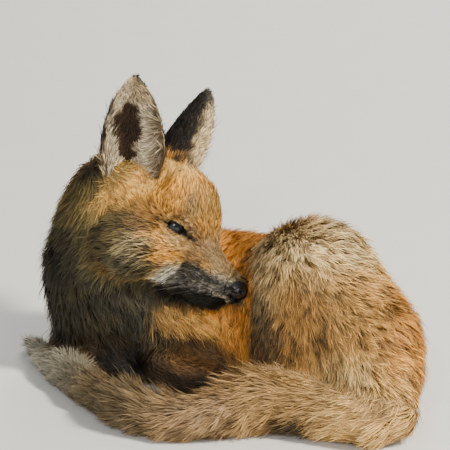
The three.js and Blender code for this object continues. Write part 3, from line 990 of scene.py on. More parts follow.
def chosen(name):
    """A colour that the user can change, as it is seen."""
    return tuple(seen(getattr(bpy.context.scene.cub_colours, name)))


class Paint:
    """Colours laid over each other at many places: the hair's root, its length and its tip."""

    def __init__(self, count, root, body, tip):
        self.root = np.tile(array(*root), (count, 1))
        self.body = np.tile(array(*body), (count, 1))
        self.tip = np.tile(array(*tip), (count, 1))
        self.contrast = np.ones(count)  # how far single locks differ from each other

    def vary(self, amount, contrast):
        """Moves the contrast towards this one."""
        self.contrast += (contrast - self.contrast) * np.clip(amount, 0, 1)

    def lay(self, amount, body, tip=None, root=None):
        """Moves the colours towards these, by an amount from 0 to 1 at each place."""
        tip = body if tip is None else tip
        root = tuple(0.5 * c for c in body) if root is None else root
        for name, colour in (("root", root), ("body", body), ("tip", tip)):
            now = getattr(self, name)
            setattr(self, name, now + (array(*colour) - now) * np.clip(amount, 0, 1)[:, None])

    def mark(self, shade, amount):
        """Lays one of the named shades."""
        self.lay(amount, *SHADES[shade])


class Places:
    """Places on the hide, with what the markings need to know of them."""

    def __init__(self, points, share, kind, high, across, inner):
        self.points, self.share = points, share
        self.kind, self.high, self.across, self.inner = kind, high, across, inner
        self.mm = points / MM
        self.local = head.local(points) / MM
        self.folded = folded(self.local)
        self.patchy = wobble(self.mm, 26, 3)
        self.fine = wobble(self.mm, 9, 5)
        self.on_head = ramp(self.part("head"), 0.25, 0.6)
        self.near_head = ramp(self.part("head"), 0.02, 0.25)

    def part(self, *nodes):
        """How much of each place belongs to these nodes."""
        return share_of(self.share, *nodes)

    def egg(self, centre, half):
        """1 inside an egg in the row frame."""
        return blob(self.mm, centre, half)

    def face_egg(self, centre, half):
        """1 inside an egg at the same place on both halves of the face."""
        return blob(self.folded, centre, half)


def mark_haunch(paint, at):
    """The haunches, the rump and the front of the near thigh."""
    x, y, z = at.mm.T
    haunch = at.part("hindleg_left", "hindquarters", "hindleg_right")
    paint.lay(haunch, chosen("tan"), chosen("cream"), (0.42, 0.32, 0.18))
    paint.vary(haunch, 1.8)
    paint.mark("haunch_fleck", haunch * ramp(at.patchy + at.fine, 0.0, 1.1) * 0.6)
    paint.mark("haunch_shade", haunch * at.egg((54, -64, 80), (20, 24, 26)) * 0.8)
    # the top of the haunch painted paler: painted light, where the light falls on it
    paint.mark("haunch_top_lit", haunch * ramp(z + 0.25 * y, 84, 108) * 0.85)
    low_right = ramp(x, 52, 80) * (1 - ramp(z, 50, 72))
    paint.mark("haunch_foot", haunch * low_right * 0.75)
    paint.mark("rump", haunch * ramp(x + 6 * at.patchy, 92, 130) * 0.85)
    # the front edge of the near thigh: greyer fringe hair, painted darker low down as shade on the side
    # turned from the light, and paler on top as painted light
    front_edge = at.part("hindleg_left") * (1 - ramp(x, 30, 50)) * ramp(z, 50, 80)
    paint.mark("thigh_edge_grey_and_shade", front_edge * (0.9 - 0.3 * ramp(z, 94, 108)))
    paint.mark("thigh_top_lit", front_edge * ramp(z, 90, 104) * 0.85)
    paint.mark("thigh_shade", at.egg((31, -54, 56), (14, 18, 26)) * haunch * 0.8)
    paint.mark("thigh_inside", inner_thigh(at.mm) * at.part("hindleg_left") * 0.95)


def mark_flank(paint, at):
    """The flank between chest and haunch, with painted shade on top and painted light low down, and the
    shin before it.
    """
    z = at.mm[:, 2]
    flank = at.part("belly")
    # darker on the top of the flank: painted shade, which tones down the strong light that falls there
    paint.mark("flank_top", flank * ramp(z, 78, 98) * 0.7)
    # the low flank in a brighter orange: its own colour, lifted as painted sunlight under the chin, where
    # the head shades it
    paint.mark("flank_low_lit", flank * (1 - ramp(z, 60, 80)))
    paint.mark("flank_pale", flank * at.egg((-26, 8, 49), (16, 20, 9)) * 0.35)
    shin = at.egg((2, -10, 20), (26, 24, 16)) * (1 - at.part(*TAIL))
    paint.mark("shin", shin * 0.9)


def mark_front(paint, at):
    """The neck with its ruff, and the chest, with painted shade where the head shades them."""
    x, y, z = at.mm.T
    front = ramp(at.part("neck", "chest"), 0.1, 0.5)
    # grey-olive on the neck and chest: the ruff's own grey, painted darker as shade under the head
    paint.mark("ruff", front * (1 - ramp(x, -44, -20)))
    # the low neck and chest near black: painted shade, where the head shades them
    shade_on_low_neck = (1 - ramp(z, 96, 130)) * (1 - ramp(y, 40, 60)) * (1 - ramp(x, -44, -28))
    paint.mark("ruff_low_shade", front * shade_on_low_neck * 0.9)
    # a dark grey patch on the chest: painted shade
    paint.mark("ruff_dark_shade", front * at.egg((-60, 22, 66), (22, 24, 34)) * 0.5)
    paint.mark("ruff_behind", front * ramp(y, 46, 72) * (1 - ramp(x, -60, -20)))
    paint.mark("ruff_fleck", front * ramp(at.patchy, 0.1, 0.9) * 0.35)
    chest = at.part("chest", "belly")
    paint.mark("breast", chest * at.egg((-35, 12, 54), (15, 24, 15)) * 0.9)
    # dark at the foot of the chest, by the paws: painted shade under the chest
    shade_under_chest = chest * (1 - ramp(z, 37, 45)) * (1 - ramp(y, 20, 40))
    shade_under_chest *= 1 - ramp(x, -8, 4)
    paint.mark("chest_foot_shade", shade_under_chest * 0.9)


def mark_legs(paint, at):
    """The forelegs and the paws, with a painted highlight on the folded forepaw and painted shade under the
    chest.
    """
    paint.mark("leg", at.part(*LEGS, *FOREPAWS, *HINDPAWS))
    # lighter brown on the folded forepaw and elbow: partly where the black stocking fades to orange, partly
    # painted highlight
    brown_and_highlight = at.egg((-16, -8, 28), (24, 14, 12)) * at.part(*LEGS, *FOREPAWS, "belly", "chest")
    paint.mark("leg_brown_and_highlight", brown_and_highlight * 0.8)
    shaded = at.egg((-68, 10, 22), (22, 18, 14)) * (1 - at.part(*TAIL))
    paint.mark("leg_shaded", shaded * 0.85)


def mark_tail(paint, at):
    """The tail, from its root to its pale tip."""
    far, _ = along_line(at.points, tail_line())
    tail = at.part(*TAIL)
    paint.lay(tail, chosen("fawn"), (0.7, 0.56, 0.37), (0.32, 0.24, 0.14))
    paint.mark("tail_near_rump", tail * (1 - ramp(far, 0.24, 0.42)))
    paint.mark("tail_root", tail * (1 - ramp(far, 0.12, 0.24)))
    paint.mark("tail_fleck", tail * ramp(at.patchy + 0.6 * at.fine, 0.35, 1.2) * 0.55)
    paint.mark("tail_bend", tail * at.egg((112, -104, 31), (10, 11, 4)) * 0.7)
    paint.mark("tail_foot", tail * at.egg((54, -92, 8), (17, 14, 8)) * 0.85)
    paint.mark("tail_half", tail * ramp(far, 0.36, 0.44) * 0.5)
    paint.mark("tail_dark", tail * ramp(far, 0.56, 0.68) * 0.85)
    # the pale end of the tail, painted grey as shade; the whiter tip is laid over it
    paint.mark("tail_pale_shaded", tail * ramp(far, 0.78, 0.9))
    paint.mark("tail_tip", tail * ramp(far, 0.88, 0.96) * 0.7)


def mark_head(paint, at):
    """The head's ground colour, crown, brows, bridge and cheeks."""
    f, side, up = at.local.T
    on_head, near_head = at.on_head, at.near_head
    paint.mark("head", on_head)
    paint.vary(on_head, 1.5)
    paint.mark("beside_ear", on_head * at.face_egg((0, 30, 27), (14, 12, 12)) * 0.7)
    # dark olive on the side of the neck behind the cheek: painted shade, where the head shades the neck
    hind_cheek_shade = (1 - ramp(f, -12, 6)) * ramp(np.abs(side), 18, 28) * (1 - ramp(up, -4, 12))
    paint.mark("hind_cheek_shade", near_head * hind_cheek_shade * 0.95)
    forehead = ramp(f, 24, 44) * ramp(up, 8, 22)
    paint.mark("forehead", on_head * forehead * 0.8)
    brow = near_line(at.folded, (38.5, 16.5, 20), (43, 14, 5), 5.6) * (0.75 + 0.25 * at.fine)
    paint.mark("brow", on_head * brow * 0.7)
    paint.mark("behind_eye", on_head * at.face_egg((18, 29, 10), (12, 8, 6)) * 0.7)
    bridge = ramp(f, 42, 58) * (1 - ramp(np.abs(side), 9, 14))
    paint.mark("bridge", on_head * bridge * 0.85)
    # dark olive low on the back of the cheek: painted shade
    cheek = at.face_egg((2, 39, -12), (20, 18, 22))
    paint.mark("cheek", on_head * cheek * 0.92)
    paint.mark("crown", on_head * at.face_egg((6, 0, 40), (26, 26, 14)) * 0.8)
    paint.mark("temple", on_head * at.face_egg((20, 36, 0), (12, 10, 8)) * 0.95)
    paint.mark("gold_cheek", on_head * at.face_egg((30, 27, -8), (16, 12, 7)) * 0.8)
    mid_cheek = at.face_egg((22, 37, -14), (12, 12, 9))
    paint.mark("mid_cheek", on_head * mid_cheek * 0.85)
    paint.vary(on_head * np.maximum(mid_cheek, cheek * 0.5), 2.1)
    # darker from the inner corner of the eye down towards the muzzle
    eye_to_muzzle_dark = near_line(at.folded, (44, 13.5, 2), (53, 14.5, -13), 6.4)
    paint.mark("eye_to_muzzle_dark", on_head * eye_to_muzzle_dark * 0.7)


def mark_muzzle(paint, at):
    """The dark patch at the side of the muzzle, the silver beside it, the lips, and painted shade under the
    cheek, jaw and throat.
    """
    f, _, up = at.local.T
    on_head, near_head = at.on_head, at.near_head
    front_of = f - (42.8 + 0.85 * (up + 16.6))  # how far in front of the dark patch's slanting edge
    upper_edge = np.interp(f, [40, 58, 70, 80], [-14.5, -14.5, -17.5, -19.5])
    # dark under the cheek: painted shade below the jaw line
    paint.mark("under_cheek_shade", near_head * at.face_egg((22, 34, -30), (18, 14, 12)) * 0.9)
    silver = ramp(front_of, -8, -1) * (1 - ramp(up + 1.5 * at.fine, -23, -13)) * ramp(up, -42, -34)
    paint.mark("silver", on_head * silver * 0.92)
    # dark on the jowl at the back of the lower jaw: painted shade
    jowl_shade = (1 - ramp(up, -38, -32)) * (1 - ramp(f, 24, 34))
    paint.mark("jowl_shade", near_head * jowl_shade * 0.95)
    patch = ramp(front_of + 2 * at.fine, 0, 5) * (1 - ramp(up - upper_edge, -2.5, 2.5))
    x, y, z = at.mm.T
    streak = 0.86 + 0.14 * wobble(np.stack([x * 0.4, y * 0.4, z * 1.6], 1), 4, 8)
    paint.mark("patch", on_head * patch * streak)
    paint.vary(on_head * np.maximum(patch, silver), 2.8)
    grey_lip = at.face_egg((64, 12, -27), (12, 9, 5)) * patch
    paint.mark("grey_lip", on_head * grey_lip * 0.7)
    # dark on the throat under the jaw: painted shade
    throat = (1 - ramp(up, -48, -42)) * (1 - ramp(f, 46, 60))
    paint.mark("throat", near_head * throat * 0.9)
    level = lip_level(f)
    # the lower jaw below the lips: its own dark hair, painted darker still as shade under the jaw
    dark_chin_and_shade = ramp(level - up, 0.0, 1.2) * (1 - ramp(level - up, 14, 20)) * ramp(front_of, -2, 6)
    paint.mark("dark_chin_and_shade", on_head * dark_chin_and_shade * 0.95)
    lip = np.exp(-(((up - level - 0.2) / 1.4) ** 2)) * ramp(f, 34, 44)
    paint.lay(on_head * lip, chosen("black"), (0.1, 0.09, 0.08), chosen("black"))
    paint.mark("pale_lip", on_head * at.face_egg((79, 8, -30), (6, 6, 2.4)) * 0.6)


def mark_nape(paint, at):
    """The nape, and the hair behind and before the ears and below the eyes."""
    f, _, up = at.local.T
    nape = ramp(f, -36, -18) * ramp(up, -2, 12) * (1 - ramp(f, -2, 8)) * at.part("head", "neck")
    paint.mark("nape", nape * 0.8)
    paint.mark("behind_ear", at.on_head * at.face_egg((-44, 28, 20), (18, 22, 24)) * 0.8)
    paint.mark("before_ear", at.on_head * before_ears(at.local) * 0.6)
    paint.mark("below_eye", at.on_head * at.face_egg((41, 19, -5), (9, 8, 5)) * 0.8)


def mark_eyes(paint, at):
    """The dark rims of the lids, the tear line, the dark trail behind the eye, and the pale lids."""
    black = chosen("black")
    for number in (1, -1):
        ball, out, along, rise = eye_frame(number)
        x, y = (at.local - ball) @ along, (at.local - ball) @ rise
        depth = (at.local - ball) @ out
        on_side = (at.local[:, 1] * number > 0) * (at.kind < LEFT_EAR)
        ahead = (depth > -6) * (depth < SOCKET_FRONT) * on_side
        rim_x, rim_y = LID_OPEN["half"] + LID_OPEN["shift"], LID_OPEN["upper"]
        round_eye = np.hypot(x / rim_x, y / rim_y)
        paint.mark("lid", ahead * (at.kind == LID) * 0.6)
        paint.lay(ahead * (1 - ramp(round_eye, 1.15, 1.45)), black, black, black)
        tear = np.exp(-((y + 0.9 + 0.16 * (-x - 8)) ** 2) / 1.7)
        tear = tear * ramp(-x, 5, 8) * (1 - ramp(-x, 15, 20))
        paint.lay(ahead * tear, (0.1, 0.08, 0.07), (0.16, 0.13, 0.1), black)
        trail = np.exp(-((y + 0.2) ** 2) / 1.5) * ramp(x, 6, 9) * (1 - ramp(x, 12, 17))
        paint.lay(ahead * trail * 0.85, (0.16, 0.12, 0.09), (0.25, 0.2, 0.15), black)
        pale_lids = np.exp(-(((np.abs(y) - 4.2) / 1.3) ** 2)) * (1 - ramp(np.abs(x), 4, 9))
        paint.mark("lid_pale", ahead * pale_lids * 0.5)


# Half-widths and edges over the height of an ear, as parts of its own half-width.
STRIP_EDGE = ((0.2, 0.5, 0.8, 1.0), (-0.72, -0.55, -0.4, -0.25))
HOLLOW_HALF = ((0, 0.14, 0.28, 0.42, 0.52, 0.62, 0.7), (0.12, 0.24, 0.36, 0.44, 0.38, 0.22, 0))
LEAF_HALF = ((0.4, 0.5, 0.65, 0.75, 0.85, 0.95, 1.02), (0.89, 0.86, 0.76, 0.66, 0.53, 0.36, 0.1))
HOLLOW_TOP = 0.72


def mark_ears(paint, at):
    """Black backs, pale hair inside, the dark hollow and the dark edge."""
    high, across, inner, fine = at.high, at.across, at.inner, at.fine
    ear = (at.kind >= LEFT_EAR).astype(float)
    rim = np.maximum(ramp(np.abs(across), 0.7, 0.98), ramp(high, 0.88, 1.02))
    back = ear * (1 - inner)
    paint.mark("ear_back", back)
    low = 1 - ramp(high + 0.12 * fine, -0.02, 0.24)
    paint.mark("ear_foot", back * low)
    beyond_edge = across - np.interp(high, *STRIP_EDGE) + 0.05 * fine
    strip = (at.kind == LEFT_EAR) * (1 - ramp(beyond_edge, -0.1, 0.1))
    paint.mark("ear_strip", back * strip)
    paint.mark("ear_inside", ear * inner)
    beside_hollow = np.abs(across + 0.2) + 0.09 * fine - np.interp(high, *HOLLOW_HALF)
    hollow = inner * (1 - ramp(beside_hollow, -0.12, 0.1)) * (high < HOLLOW_TOP)
    paint.mark("ear_hollow", ear * hollow)
    tip = blob(np.stack([across, high, 0 * high], 1), (0.35, 0.85, 0), (0.6, 0.2, 1))
    paint.mark("ear_tip", ear * inner * tip * 0.5)
    paint.mark("ear_rim", ear * rim * inner * 0.6)
    past_leaf = across + np.interp(high, *LEAF_HALF) + 0.03 * fine
    dark_edge = (at.kind == RIGHT_EAR) * (1 - ramp(past_leaf, 0.04, 0.12)) * ramp(high, 0.1, 0.3)
    paint.mark("ear_edge", dark_edge * 0.95)


# In the order in which they are laid over each other.
MARKINGS = (mark_haunch, mark_flank, mark_front, mark_legs, mark_tail)
MARKINGS += (mark_head, mark_muzzle, mark_nape, mark_eyes, mark_ears)


def coat_colour(places):
    """The colours of hair rooted at these places."""
    paint = Paint(len(places.mm), (0.5, 0.32, 0.12), chosen("orange"), (0.88, 0.63, 0.28))
    for marking in MARKINGS:
        marking(paint, places)
    return paint


# ---------------- the coat
RIBS = array(0, 0.34, 0.7, 1)  # the places along a tuft where it bends
GIRTH = array(0.75, 1.0, 0.72)  # its width at the first three of them, as a part of the widest
SLOPES = (1.0, 0.72, 0.42)  # how much of its lift is left in each stretch between them
RIB_OF = np.array([0, 0, 1, 1, 2, 2, 3])  # the rib that each of its seven vertices stands on
ROOT_DEPTH = 0.4 * MM  # how deep it is rooted in the skin
LEAST_HEIGHT = 0.3 * MM  # no hair goes nearer to the floor than this
LENGTHS = (0.62, 1.08)  # how short and how long single tufts are, as parts of the set length
WIDTHS = (0.75, 1.2)
GUARD_SHARE = 0.1  # the part of the tufts that are guard hairs, which are longer and lift higher
GUARD_LONGER = 1.22
GUARD_LIFT = 5
BIG_LOCK = 3.1  # how many times larger the locks of a second kind are, which differ in length and shade
GATHER = 0.5  # how far a tuft's tip is drawn to the middle of its lock
NEAR_FLOOR = 6 * MM  # hair rooted lower than this is kept short
MAP_PATCH = 0.003  # the side of each tuft's own square on the map


def patch_map(points, triangles):
    """A flat unwrap of these faces alone: three (u, v) for each triangle."""
    used, number = np.unique(triangles, return_inverse=True)
    obj = new_object("unwrap", points[used], number.reshape(triangles.shape))
    obj.data.uv_layers.new(name="flat")
    bpy.context.view_layer.objects.active = obj
    bpy.ops.object.select_all(action="DESELECT")
    obj.select_set(True)
    bpy.ops.object.mode_set(mode="EDIT")
    bpy.ops.mesh.select_all(action="SELECT")
    bpy.ops.uv.smart_project(angle_limit=math.radians(66), island_margin=0.004)
    bpy.ops.object.mode_set(mode="OBJECT")
    uv = np.zeros(len(obj.data.loops) * 2, np.float32)
    obj.data.uv_layers["flat"].data.foreach_get("uv", uv)
    bpy.data.objects.remove(obj)
    return uv.reshape(-1, 3, 2)


class Roots:
    """Tufts scattered over some triangles of the skin, thickest where the skin says so."""

    def __init__(self, rng, faces, count):
        skin = hide()
        corner = skin.points[faces]
        facing = np.cross(corner[:, 1] - corner[:, 0], corner[:, 2] - corner[:, 0])
        area = np.linalg.norm(facing, axis=1) / 2
        heap = np.cumsum(area * skin.density[faces].mean(1))
        pick = np.searchsorted(heap, (np.arange(count) + rng.random(count)) * heap[-1] / count)
        self.pick = np.minimum(pick, len(faces) - 1)
        u, w = rng.random(count), rng.random(count)
        over = u + w > 1
        u[over], w[over] = 1 - u[over], 1 - w[over]
        self.weight = np.stack([1 - u - w, u, w], 1)
        self.corners = faces[self.pick]

    def of(self, values):
        """A value of the skin's vertices, at each root."""
        picked = values[self.corners]
        return (picked * self.weight.reshape(self.weight.shape + (1,) * (values.ndim - 1))).sum(1)

    def places(self):
        """The roots as places on the hide."""
        skin = hide()
        kind = skin.kind[self.corners[:, 0]]
        fields = (self.of(field) for field in (skin.high, skin.across, skin.inner))
        return Places(self.of(skin.points), self.of(skin.share), kind, *fields)


def combed(rng, root, normal, way, length, luck, seed):
    """The way of each tuft along the skin: the lie of the coat, turned from lock to lock."""
    wild = np.clip(length / 14, 0.4, 1)
    turn = (luck - 0.5) * 0.9 * wild + rng.normal(0, 0.14, len(root))
    turn = turn + 0.2 * wobble(root / MM, 34, seed + 2)
    turn += 0.35 * wild * wobble(root / MM, 9, seed + 3)
    across = unit(np.cross(normal, way))
    way = unit(np.cos(turn)[:, None] * way + np.sin(turn)[:, None] * across)
    return unit(way - dot(way, normal)[:, None] * normal)


def ribs_of(root, normal, way, across, length, lift, bend, pull, luck):
    """The places where each tuft bends, from its root to its tip."""
    places = [root - normal * ROOT_DEPTH]
    reached = np.zeros(len(root))
    for i, slope in enumerate(SLOPES):
        part = (RIBS[i + 1] - RIBS[i]) * length
        reached = reached + part
        angle = lift * slope - np.clip(bend * (reached - part / 2), -0.5, 0.9)
        step = np.cos(angle)[:, None] * way + np.sin(angle)[:, None] * normal
        drawn = pull * (RIBS[i + 1] ** 1.3 - RIBS[i] ** 1.3)
        swing = 0.1 * np.sin(2 * math.pi * (RIBS[i + 1] + luck)) * part
        places.append(places[-1] + part[:, None] * step + drawn + swing[:, None] * across)
    places = np.stack(places, 1)
    places[:, :, 2] = np.maximum(places[:, :, 2], LEAST_HEIGHT)
    return places


def ribbons(rng, places, across, normal, width):
    """Each tuft as two four-sided faces and a tip: points, and the two kinds of faces."""
    count = len(places)
    roll = rng.normal(0, 0.5, count)
    flat = np.cos(roll)[:, None] * across + np.sin(roll)[:, None] * normal
    half = (width * MM * rng.uniform(*WIDTHS, count) / 2)[:, None, None] * GIRTH[None, :, None]
    left = places[:, :3] + half * flat[:, None]
    right = places[:, :3] - half * flat[:, None]
    pairs = [ends[:, rib] for rib in range(3) for ends in (left, right)]
    points = np.concatenate([*pairs, places[:, 3]], 1).reshape(-1, 3)
    start = np.arange(count)[:, None] * len(RIB_OF)
    quads = np.concatenate([start + np.array([0, 1, 3, 2]), start + np.array([2, 3, 5, 4])])
    return points, quads, start + np.array([4, 5, 6])


def map_tufts(obj, faces, roots):
    """Gives each tuft a small square of the coat's map, where its root lies on the skin's unwrap."""
    flat_map = patch_map(hide().points, faces)
    place = (flat_map[roots.pick] * roots.weight[:, :, None]).sum(1)
    spread_u = np.array([0.2, 0.8, 0.0, 1.0, 0.1, 0.9, 0.5]) * MAP_PATCH
    spread_v = RIBS[RIB_OF] * MAP_PATCH
    uv = np.clip(place[:, None], 0, 1 - MAP_PATCH) + np.stack([spread_u, spread_v], 1)[None]
    loops = np.zeros(len(obj.data.loops), np.int32)
    obj.data.loops.foreach_get("vertex_index", loops)
    layer = obj.data.uv_layers.new(name="OFBake")
    layer.data.foreach_set("uv", uv.reshape(-1, 2)[loops].astype(np.float32).ravel())


def grow(name, chosen_faces, count, seed, material):
    """Tufts on the chosen triangles of the skin, as one object."""
    skin = hide()
    rng = np.random.default_rng(seed)
    faces = skin.triangles[chosen_faces]
    roots = Roots(rng, faces, count)
    root, way, bend = roots.of(skin.points), roots.of(skin.flow), roots.of(skin.bend)
    normal = unit(roots.of(skin.soft_normals))
    length, lift = roots.of(skin.length), roots.of(skin.lift)
    width, lock = roots.of(skin.width), roots.of(skin.lock)
    centre, luck = cell_of(root, lock.mean() * MM, seed)
    _, tuft_luck = cell_of(root, lock.mean() * BIG_LOCK * MM, seed + 1)
    chance = rng.random(count)
    guard = rng.random(count) < GUARD_SHARE

    way = combed(rng, root, normal, way, length, luck, seed)
    across = np.cross(normal, way)
    length = length * MM * rng.uniform(*LENGTHS, count) * (0.86 + 0.28 * tuft_luck)
    length = np.where(guard, length * GUARD_LONGER, length)
    near_floor = root[:, 2] < NEAR_FLOOR
    length = np.minimum(length, np.where(near_floor, np.maximum(root[:, 2] * 3, 3 * MM), 1))
    lift = np.radians(lift * (0.75 + 0.5 * luck) + rng.normal(0, 5, count) + guard * GUARD_LIFT)
    pull = centre - root
    pull = dot(pull, across)[:, None] * across * GATHER
    places = ribs_of(root, normal, way, across, length, lift, bend, pull, luck)
    points, quads, tips = ribbons(rng, places, across, normal, width)
    obj = new_object(name, points, [quads, tips], material)

    at = roots.places()
    tint = tint_of(coat_colour(at), luck, chance, guard, tuft_luck, at)
    colour = np.ones((count, len(RIB_OF), 4))
    colour[:, :, :3] = linear(tint[:, RIB_OF])
    put(obj, "tint", colour.reshape(-1, 4))
    map_tufts(obj, faces, roots)

    soft = np.repeat(normal, len(RIB_OF), 0)
    own = vertex_normals(points, np.concatenate([as_triangles(quads), tips]))
    own *= np.sign(dot(own, soft))[:, None]
    obj.data.normals_split_custom_set_from_vertices(unit(0.55 * soft + 0.45 * own).astype(np.float32))
    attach(obj, "root")
    return obj


def tint_of(paint, luck, chance, guard, tuft_luck, at):
    """The colours of each tuft at its four ribs, as seen: the markings, varied from lock to lock."""
    root, body, tip = paint.root, paint.body, paint.tip
    grizzled = at.part("hindleg_left", "hindquarters", "tail_base", "tail_middle", "neck", "chest") > 0.5
    change = 0.3 * (luck - 0.5) + 0.22 * (chance - 0.5) + 0.1 * (tuft_luck - 0.5)
    shade = 0.95 + change * paint.contrast
    second = root + (body - root) * 0.7
    third = body + (tip - body) * 0.45
    tip = np.where((chance < 0.25)[:, None], body, tip)
    ticked = grizzled & (luck < 0.22) & (chance > 0.5)
    tip = np.where(ticked[:, None], tip * 0.6, tip)
    third = np.where(ticked[:, None], third * 0.78, third)
    tip = np.where((guard & ~ticked)[:, None], np.minimum(tip * 1.12, 0.97), tip)
    return np.clip(np.stack([root, second, third, tip], 1) * shade[:, None, None], 0.02, 1)


# ---------------- finishes
class Wire:
    """An output of a node. Arithmetic on wires and numbers adds Math nodes."""

    def __init__(self, finish, output):
        self.finish = finish
        self.output = output

    def math(self, operation, *values):
        sockets = dict(enumerate(values))
        return self.finish.node("ShaderNodeMath", {"operation": operation}, sockets)

    def __add__(self, other):
        return self.math("ADD", self, other)

    def __sub__(self, other):
        return self.math("SUBTRACT", self, other)

    def __rsub__(self, other):
        return self.math("SUBTRACT", other, self)

    def __mul__(self, other):
        return self.math("MULTIPLY", self, other)

    def __pow__(self, other):
        return self.math("POWER", self, other)

    __radd__ = __add__
    __rmul__ = __mul__

    def step(self, low, high):
        """0 below low and 1 above high, with a soft step between."""
        sockets = {"Value": self, "From Min": low, "From Max": high}
        return self.finish.node("ShaderNodeMapRange", {"interpolation_type": "SMOOTHSTEP"}, sockets)


# A Mix node's colour sockets go by number, as they share their names with its others.
MIX_A, MIX_B, MIX_RESULT = 6, 7, 2


class Finish:
    """A material made of one Principled shader and what feeds it."""

    def __init__(self, name, **constants):
        self.material = bpy.data.materials.new(name)
        self.material.use_nodes = True
        self.nodes = self.material.node_tree.nodes
        self.links = self.material.node_tree.links
        self.shader = self.nodes["Principled BSDF"]
        for socket, value in constants.items():
            self.set(self.shader.inputs[socket.replace("_", " ")], value)

    def set(self, socket, value):
        """Links a wire to a socket, or sets a number or a colour on it."""
        if isinstance(value, Wire):
            self.links.new(value.output, socket)
        elif socket.type == "RGBA":
            socket.default_value = (*value, 1)
        else:
            socket.default_value = value

    def node(self, kind, settings, sockets, out=0):
        """A node with its settings made first, then its sockets set or linked; gives one output."""
        node = self.nodes.new(kind)
        for key, value in settings.items():
            setattr(node, key, value)
        for key, value in sockets.items():
            self.set(node.inputs[key], value)
        return Wire(self, node.outputs[out])

    def attribute(self, name, out="Color"):
        return self.node("ShaderNodeAttribute", {"attribute_name": name}, {}, out)

    def noise(self, scale, detail, vector):
        sockets = {"Vector": vector, "Scale": scale, "Detail": detail}
        return self.node("ShaderNodeTexNoise", {}, sockets, "Fac")

    def place(self):
        """Places in the piece's own frame."""
        return self.node("ShaderNodeTexCoord", {}, {}, "Object")

    def tinted(self, colour, amount):
        """A colour made darker or lighter by a number."""
        settings = {"data_type": "RGBA", "blend_type": "MULTIPLY"}
        grey = self.node("ShaderNodeCombineColor", {}, {0: amount, 1: amount, 2: amount})
        sockets = {"Factor": 1, MIX_A: colour, MIX_B: grey}
        return self.node("ShaderNodeMix", settings, sockets, MIX_RESULT)

    def between(self, factor, a, b):
        """Two colours mixed."""
        sockets = {"Factor": factor, MIX_A: a, MIX_B: b}
        return self.node("ShaderNodeMix", {"data_type": "RGBA"}, sockets, MIX_RESULT)

    def feed(self, socket, value):
        """Links or sets one of the shader's own sockets."""
        self.set(self.shader.inputs[socket], value)

    def bump(self, height, strength, distance):
        sockets = {"Strength": strength, "Distance": distance, "Height": height}
        self.feed("Normal", self.node("ShaderNodeBump", {}, sockets))


def hair_finish():
    """Hair: the tuft's own tint, a little streaked, with a soft shine."""
    finish = Finish("Hair", Specular_IOR_Level=0.35)
    streak = finish.noise(420.0, 1.0, finish.place())
    finish.feed("Base Color", finish.tinted(finish.attribute("tint"), streak * 0.5 + 0.78))
    finish.feed("Roughness", 0.5 + streak * 0.2)
    return finish.material


def hide_finish():
    """The skin between the hairs: the coat's markings, darker, with the grain of short hair."""
    finish = Finish("Hide", Specular_IOR_Level=0.2)
    place = finish.place()
    grain = finish.noise(900.0, 3.0, place)
    finish.feed("Base Color", finish.tinted(finish.attribute("tint"), grain * 0.7 + 0.6))
    finish.feed("Roughness", 0.7 + grain * 0.2)
    finish.bump(grain, 0.5, 0.0006)
    return finish.material


def nose_finish():
    """Nose leather: black, pebbled and moist."""
    finish = Finish("Nose_leather", Coat_Roughness=0.16, Specular_IOR_Level=0.5)
    place = finish.place()
    sockets = {"Vector": place, "Scale": 1400.0}
    pebbles = finish.node("ShaderNodeTexVoronoi", {"feature": "SMOOTH_F1"}, sockets, "Distance")
    grain = finish.noise(600.0, 2.0, place)
    wet = 1 - pebbles.step(0.1, 0.7)
    finish.feed("Base Color", finish.between(grain, (0.006, 0.006, 0.007), (0.022, 0.02, 0.02)))
    finish.feed("Roughness", 0.34 + grain * 0.2)
    finish.feed("Coat Weight", 0.35 + wet * 0.4)
    finish.bump(wet, 0.4, 0.00035)
    return finish.material


def eye_finish():
    """An eye: the dark blue-grey iris of a cub with an upright pupil, under a wet clear coat."""
    finish = Finish("Eye", Roughness=0.3, Specular_IOR_Level=0.2, Coat_Weight=0.8, Coat_Roughness=0.02)
    spot = finish.attribute("spot", "Vector")
    across, rise = (finish.node("ShaderNodeSeparateXYZ", {}, {0: spot}, axis) for axis in "XY")
    radius = (across * across + rise * rise) ** 0.5
    slit = ((across * 1.75) ** 2 + (rise * 0.95) ** 2) ** 0.5
    fibres = finish.noise(2600.0, 3.0, finish.place())
    rim = radius.step(3.6, 5.0)
    iris = finish.between(fibres, (0.008, 0.01, 0.011), (0.028, 0.034, 0.037))
    iris = finish.between(rim, iris, (0.006, 0.004, 0.003))
    pupil = 1 - slit.step(2.3, 2.9)
    white = radius.step(5.6, 6.2)
    colour = finish.between(pupil, iris, (0.001, 0.001, 0.001))
    finish.feed("Base Color", finish.between(white, colour, (0.03, 0.02, 0.015)))
    return finish.material


def horn_finish():
    """Claws: dark horn, paler where it is thin."""
    finish = Finish("Horn", Specular_IOR_Level=0.5)
    grain = finish.noise(500.0, 2.0, finish.place())
    along = finish.attribute("along", "Fac")
    finish.feed("Base Color", finish.between(along * 0.8, (0.02, 0.014, 0.01), (0.16, 0.12, 0.09)))
    finish.feed("Roughness", 0.3 + grain * 0.15)
    return finish.material


def whisker_finish():
    """Whiskers: black at the root and brown at the tip."""
    finish = Finish("Whisker", Roughness=0.35)
    along = finish.attribute("along", "Fac")
    finish.feed("Base Color", finish.between(along, (0.012, 0.01, 0.009), (0.09, 0.075, 0.06)))
    return finish.material


